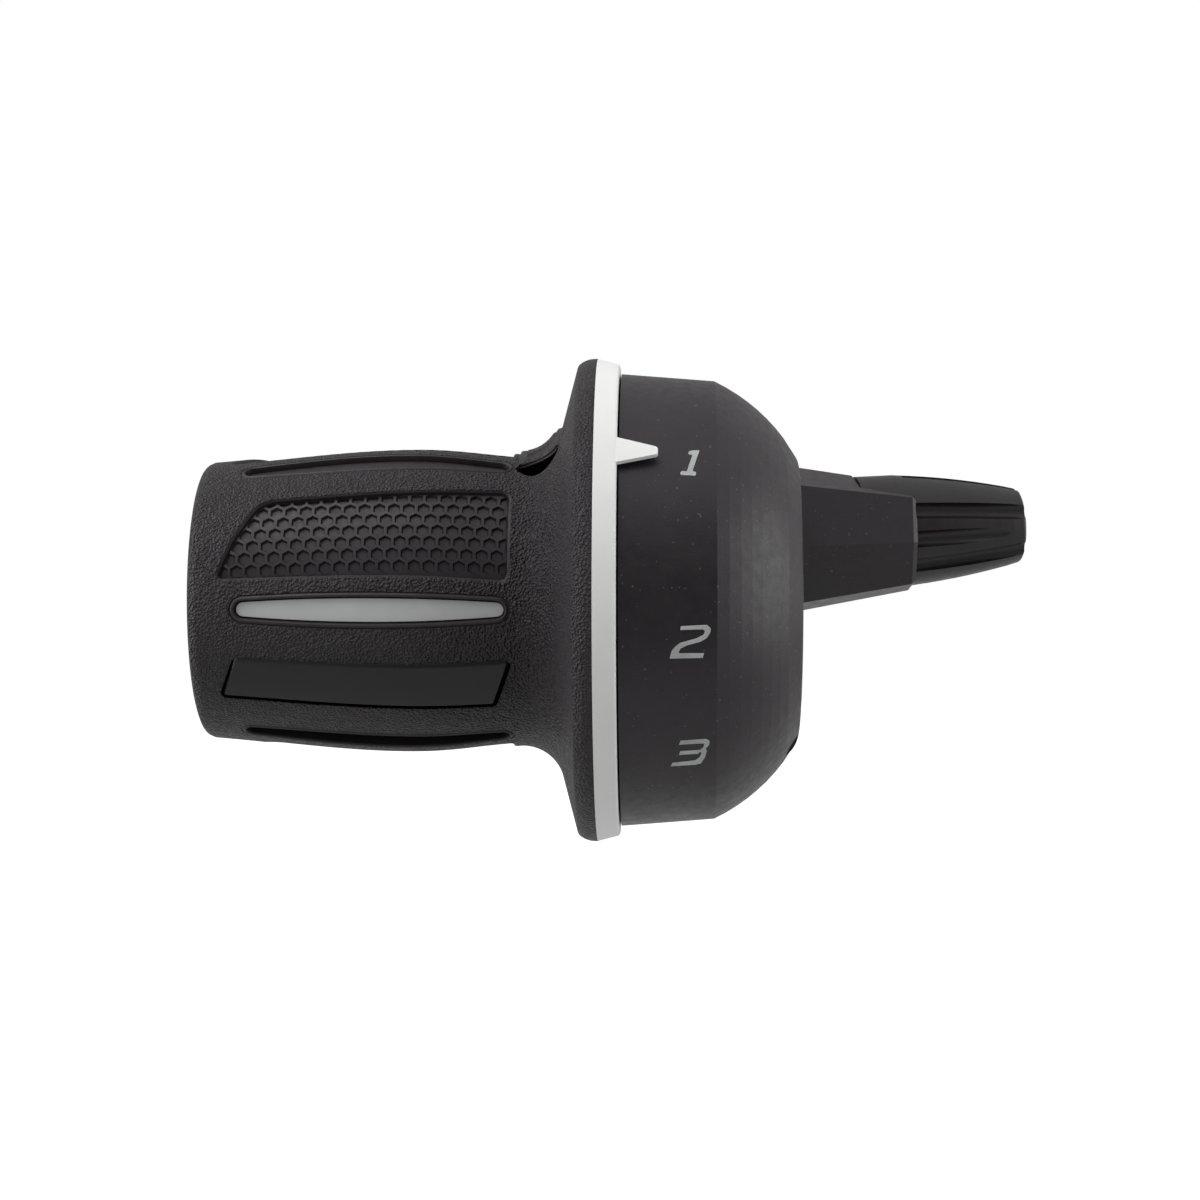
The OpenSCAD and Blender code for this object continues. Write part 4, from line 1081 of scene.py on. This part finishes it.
@dataclass
class GearNumbers:
    """The gear numbers on the band of the housing."""

    mouth_x: float = -19.55
    shoulder_x: float = -9.3
    mouth_r: float = 25.2
    shoulder_r: float = 24.4
    middle_x: float = -12.1
    lift: float = 0.035
    numbers: tuple[Number, ...] = (
        Number("number_one", 35.8, (
            (-0.25, 1.23), (-0.12, 1.58), (0.32, 1.76), (1.09, 1.77), (0.34, -1.09), (0.65, -1.15), (0.71, -1.48),
            (0.58, -1.77), (-0.94, -1.77), (-1.09, -1.54), (-1.0, -1.22), (-0.77, -1.06), (-0.39, -1.16),
            (0.19, 0.98), (-0.11, 0.98))),
        Number("number_two", -10.1, (
            (-1.03, 1.7), (1.74, 1.81), (2.18, 1.41), (2.14, 0.94), (1.77, 0.33), (1.11, -0.06), (-0.32, -0.43),
            (-0.95, -0.75), (-1.17, -1.13), (1.51, -1.16), (1.35, -1.79), (-2.18, -1.81), (-1.98, -0.91),
            (-1.58, -0.43), (-1.03, -0.03), (0.63, 0.42), (1.34, 0.78), (1.46, 1.1), (1.27, 1.22),
            (-1.08, 1.18))),
        Number("number_three", -40.8, (
            (-1.03, 1.86), (1.75, 1.93), (2.11, 1.57), (2.08, 0.97), (1.73, 0.5), (1.85, 0.14), (1.64, -0.82),
            (1.21, -1.72), (0.65, -1.88), (-2.11, -1.93), (-1.87, -1.26), (0.56, -1.08), (0.99, -0.62),
            (1.17, -0.12), (1.04, 0.11), (0.96, -0.23), (-1.22, -0.26), (-1.06, 0.41), (1.04, 0.44), (1.36, 0.76),
            (1.44, 1.2), (-1.22, 1.19))))

    def radius(self, x: float) -> float:
        """Radius of the band at a place along the bar."""
        share = (x - self.mouth_x) / (self.shoulder_x - self.mouth_x)
        return self.mouth_r + (self.shoulder_r - self.mouth_r) * share

    def build(self) -> list[Item]:
        """Builds each number as a thin closed piece of paint.

        Returns:
            The pieces.
        """
        return [self.build_one(number) for number in self.numbers]

    def build_one(self, number: Number) -> Item:
        """Builds one number.

        Args:
            number: The number.

        Returns:
            The piece.
        """
        outline = grown(spaced(rounded(list(number.outline), [0.07] * len(number.outline)), 0.3), -0.06)
        top = grown(outline, -0.03)
        flat: Outline = list(outline) + list(top)
        n = len(outline)
        sides = [(i, (i + 1) % n) for i in range(n)] + [(n + i, n + (i + 1) % n) for i in range(n)]
        grid = np.array([(x * 0.4, y * 0.4) for x in range(-7, 8) for y in range(-6, 7)])
        within = inside(grid, np.array(top)) & (clearance(grid, np.array(top)) > 0.1)
        flat += [tuple(p) for p in grid[within]]
        made, _, faces, origin, _, _ = delaunay_2d_cdt([Vector(p) for p in flat], sides, [], 1, 1e-6)
        rim = {i for i, o in enumerate(origin) if any(k < n for k in o)}
        places = [self.place(number, p, 0.0 if i in rim else self.lift) for i, p in enumerate(made)]
        order = {k: i for i, o in enumerate(origin) for k in o if k < n}
        base = len(places)
        for k in range(n):
            places.append(self.place(number, made[order[k]], -0.05))
        rows = list(faces)
        rows += [(order[k], base + k, base + (k + 1) % n, order[(k + 1) % n]) for k in range(n)]
        rows.append(tuple(base + k for k in range(n)))
        piece = make_piece(number.name, places, rows, "housing", PAINT_SHARP)
        weld(piece, 1e-8)
        return piece

    def place(self, number: Number, p: Vector, height: float) -> Vector:
        """Puts a point of a number on the band, at a height above it."""
        x = self.middle_x + p.x
        r = self.radius(x)
        return on_bar(x, r + height, math.radians(number.turn) + p.y / r)


@dataclass
class Studio:
    """Pale floor, soft light and the camera."""

    middle_x: float = -22.06
    distance: float = 310.0
    yaw: float = 1.55
    pixels_per_mm: float = 8.93
    frame_px: float = 1200.0
    sensor_mm: float = 36.0
    floor_z: float = -120.0
    floor_front: float = -200.0
    dark_turn: float = 13.0

    def camera(self) -> Item:
        """Places the camera where the photograph was taken from.

        Returns:
            The camera.
        """
        data = bpy.data.cameras.new("camera")
        data.sensor_width = self.sensor_mm
        data.lens = self.pixels_per_mm * self.distance * self.sensor_mm / self.frame_px
        data.clip_start, data.clip_end = 0.01, 50.0
        camera = placed("camera", data)
        turn = math.radians(self.yaw)
        camera.location = Vector((self.middle_x + self.distance * math.sin(turn),
                                  -self.distance * math.cos(turn), 0)) * MM
        camera.rotation_euler = (math.radians(90), 0, turn)
        bpy.context.scene.camera = camera
        return camera

    def lamp(self, name: str, at: Triple, size: tuple[float, float],
             watts: float) -> None:
        """Hangs one soft box that faces the shifter.

        Args:
            name: Name of the lamp.
            at: Its place, in metres.
            size: Its width and height, in metres.
            watts: Its power.
        """
        data = bpy.data.lights.new(name, "AREA")
        data.shape = "RECTANGLE"
        data.size, data.size_y = size
        data.energy = watts
        lamp = placed(name, data)
        lamp.location = at
        aim = Vector((self.middle_x * MM, 0, 0)) - Vector(at)
        lamp.rotation_euler = aim.to_track_quat("-Z", "Y").to_euler()

    def lights(self) -> None:
        """Lights the shifter from above and both sides, with a darker room behind the camera."""
        self.lamp("soft_box_above", (-0.27, -0.18, 0.48), (0.4, 0.3), 1.35)
        self.lamp("soft_box_right", (0.58, -0.04, 0.02), (0.45, 0.6), 1.7)
        self.lamp("soft_box_left", (-0.58, 0.05, 0.16), (0.3, 0.5), 1.8)

    def world(self) -> None:
        """Makes the pale surroundings, which the camera sees as white."""
        world = bpy.data.worlds.new("pale_room")
        bpy.context.scene.world = world
        world.use_nodes = True
        tree = world.node_tree
        tree.nodes.clear()
        out = tree.nodes.new("ShaderNodeOutputWorld")
        seen = tree.nodes.new("ShaderNodeBackground")
        seen.inputs["Color"].default_value = (1, 1, 1, 1)
        seen.inputs["Strength"].default_value = 1.0
        room = tree.nodes.new("ShaderNodeBackground")
        room.inputs["Strength"].default_value = 0.93
        place = tree.nodes.new("ShaderNodeTexCoord")
        swung = tree.nodes.new("ShaderNodeMapping")
        swung.inputs["Rotation"].default_value = (0.0, 0.0, math.radians(-self.dark_turn))
        tree.links.new(place.outputs["Generated"], swung.inputs["Vector"])
        split = tree.nodes.new("ShaderNodeSeparateXYZ")
        tree.links.new(swung.outputs["Vector"], split.inputs[0])
        front = map_range(tree, split.outputs["Y"], (-1.0, -0.5), (0.03, 1.0), "SMOOTHSTEP")
        behind = map_range(tree, split.outputs["Y"], (0.0, 0.85), (1.0, 0.25))
        tree.links.new(math_node(tree, "MULTIPLY", front, behind), room.inputs["Color"])
        path = tree.nodes.new("ShaderNodeLightPath")
        mix = tree.nodes.new("ShaderNodeMixShader")
        tree.links.new(self.seen_directly(tree, path), mix.inputs["Fac"])
        tree.links.new(room.outputs[0], mix.inputs[1])
        tree.links.new(seen.outputs[0], mix.inputs[2])
        tree.links.new(mix.outputs[0], out.inputs["Surface"])

    def seen_directly(self, tree: Tree, path: bpy.types.Node) -> Socket:
        """Adds the share by which a ray sees the plain white.

        Args:
            tree: Node tree that gets the nodes.
            path: Its Light Path node.

        Returns:
            1 for the camera and transmitted rays, and a part for glossy ones.
        """
        part = math_node(tree, "MULTIPLY", path.outputs["Is Glossy Ray"], 0.25)
        most = math_node(tree, "MAXIMUM", path.outputs["Is Camera Ray"], path.outputs["Is Transmission Ray"])
        return math_node(tree, "MAXIMUM", most, part)

    def floor(self) -> Item:
        """Lays the pale floor, which keeps the shifter's shadow.

        Returns:
            The floor.
        """
        mesh = bpy.data.meshes.new("floor")
        half, front, z = 3.0, self.floor_front * MM, self.floor_z * MM
        mesh.from_pydata([(-half, front, z), (half, front, z), (half, half, z), (-half, half, z)], [],
                         [(0, 1, 2, 3)])
        floor = placed("floor", mesh)
        g = Graph("pale_floor")
        g.shader.inputs["Roughness"].default_value = 0.9
        g.shader.inputs["Specular IOR Level"].default_value = 0.1
        g.join(g.blend(g.ramp(g.noise(60.0, 3.0), 0.3, 0.7, 0.0, 1.0), (0.42, 0.42, 0.42), (0.40, 0.40, 0.40)),
               g.shader.inputs["Base Color"])
        glow = g.tree.nodes.new("ShaderNodeEmission")
        glow.inputs["Color"].default_value = (1, 1, 1, 1)
        path = g.tree.nodes.new("ShaderNodeLightPath")
        g.join(math_node(g.tree, "MULTIPLY", self.seen_directly(g.tree, path), 0.9), glow.inputs["Strength"])
        both = g.tree.nodes.new("ShaderNodeAddShader")
        g.join(g.shader.outputs[0], both.inputs[0])
        g.join(glow.outputs[0], both.inputs[1])
        out = next(n for n in g.tree.nodes if n.type == "OUTPUT_MATERIAL")
        g.join(both.outputs[0], out.inputs["Surface"])
        mesh.materials.append(g.material)
        return floor

    def build(self) -> None:
        """Builds the camera, the lights, the surroundings and the floor."""
        self.camera()
        self.lights()
        self.world()
        self.floor()
        view = bpy.context.scene.view_settings
        view.view_transform = "Standard"


NODE_FINISHES: dict[Finish, tuple[str, ...]] = {
    Finish.SHELL: ("housing",),
    Finish.STEEL: ("clamp_bolt", "clamp_washer"),
    Finish.BRASS: ("clamp_sleeve", "threaded_insert", "adjuster_stem"),
    Finish.SPRING: ("detent_spring", "retaining_clip", "click_spring"),
    Finish.LINER: ("thrust_washer", "cable_guide", "click_collar"),
    Finish.KNOB: ("adjuster_knob",),
    Finish.SPOOL: ("cable_spool",),
    Finish.RING: ("indicator_ring",),
    Finish.BARREL: ("grip_barrel",),
    Finish.GRIP: ("grip_cover",),
}


def main() -> None:
    """Loads the frame, builds each sub-assembly, dresses it and logs each built piece's face count."""
    logging.basicConfig(level=logging.INFO, format="%(name)s: %(message)s")
    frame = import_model()
    dresser = Dresser()
    Studio().build()
    for finish, names in NODE_FINISHES.items():
        for name in names:
            dresser.dress_node(frame["nodes"][name], finish)
    cover = GripCover().build()
    # The third and fourth slots are painted shade.
    dresser.dress(cover, Finish.GRIP, Finish.PLAQUE, Finish.PAINTED_SHADE, Finish.GROOVE_PAINTED_SHADE)
    LOG.info("%s: %d faces", cover.name, len(cover.data.polygons))
    for piece in GearNumbers().build():
        dresser.dress(piece, Finish.PRINT)
        LOG.info("%s: %d faces", piece.name, len(piece.data.polygons))


if __name__ == "__main__":
    main()
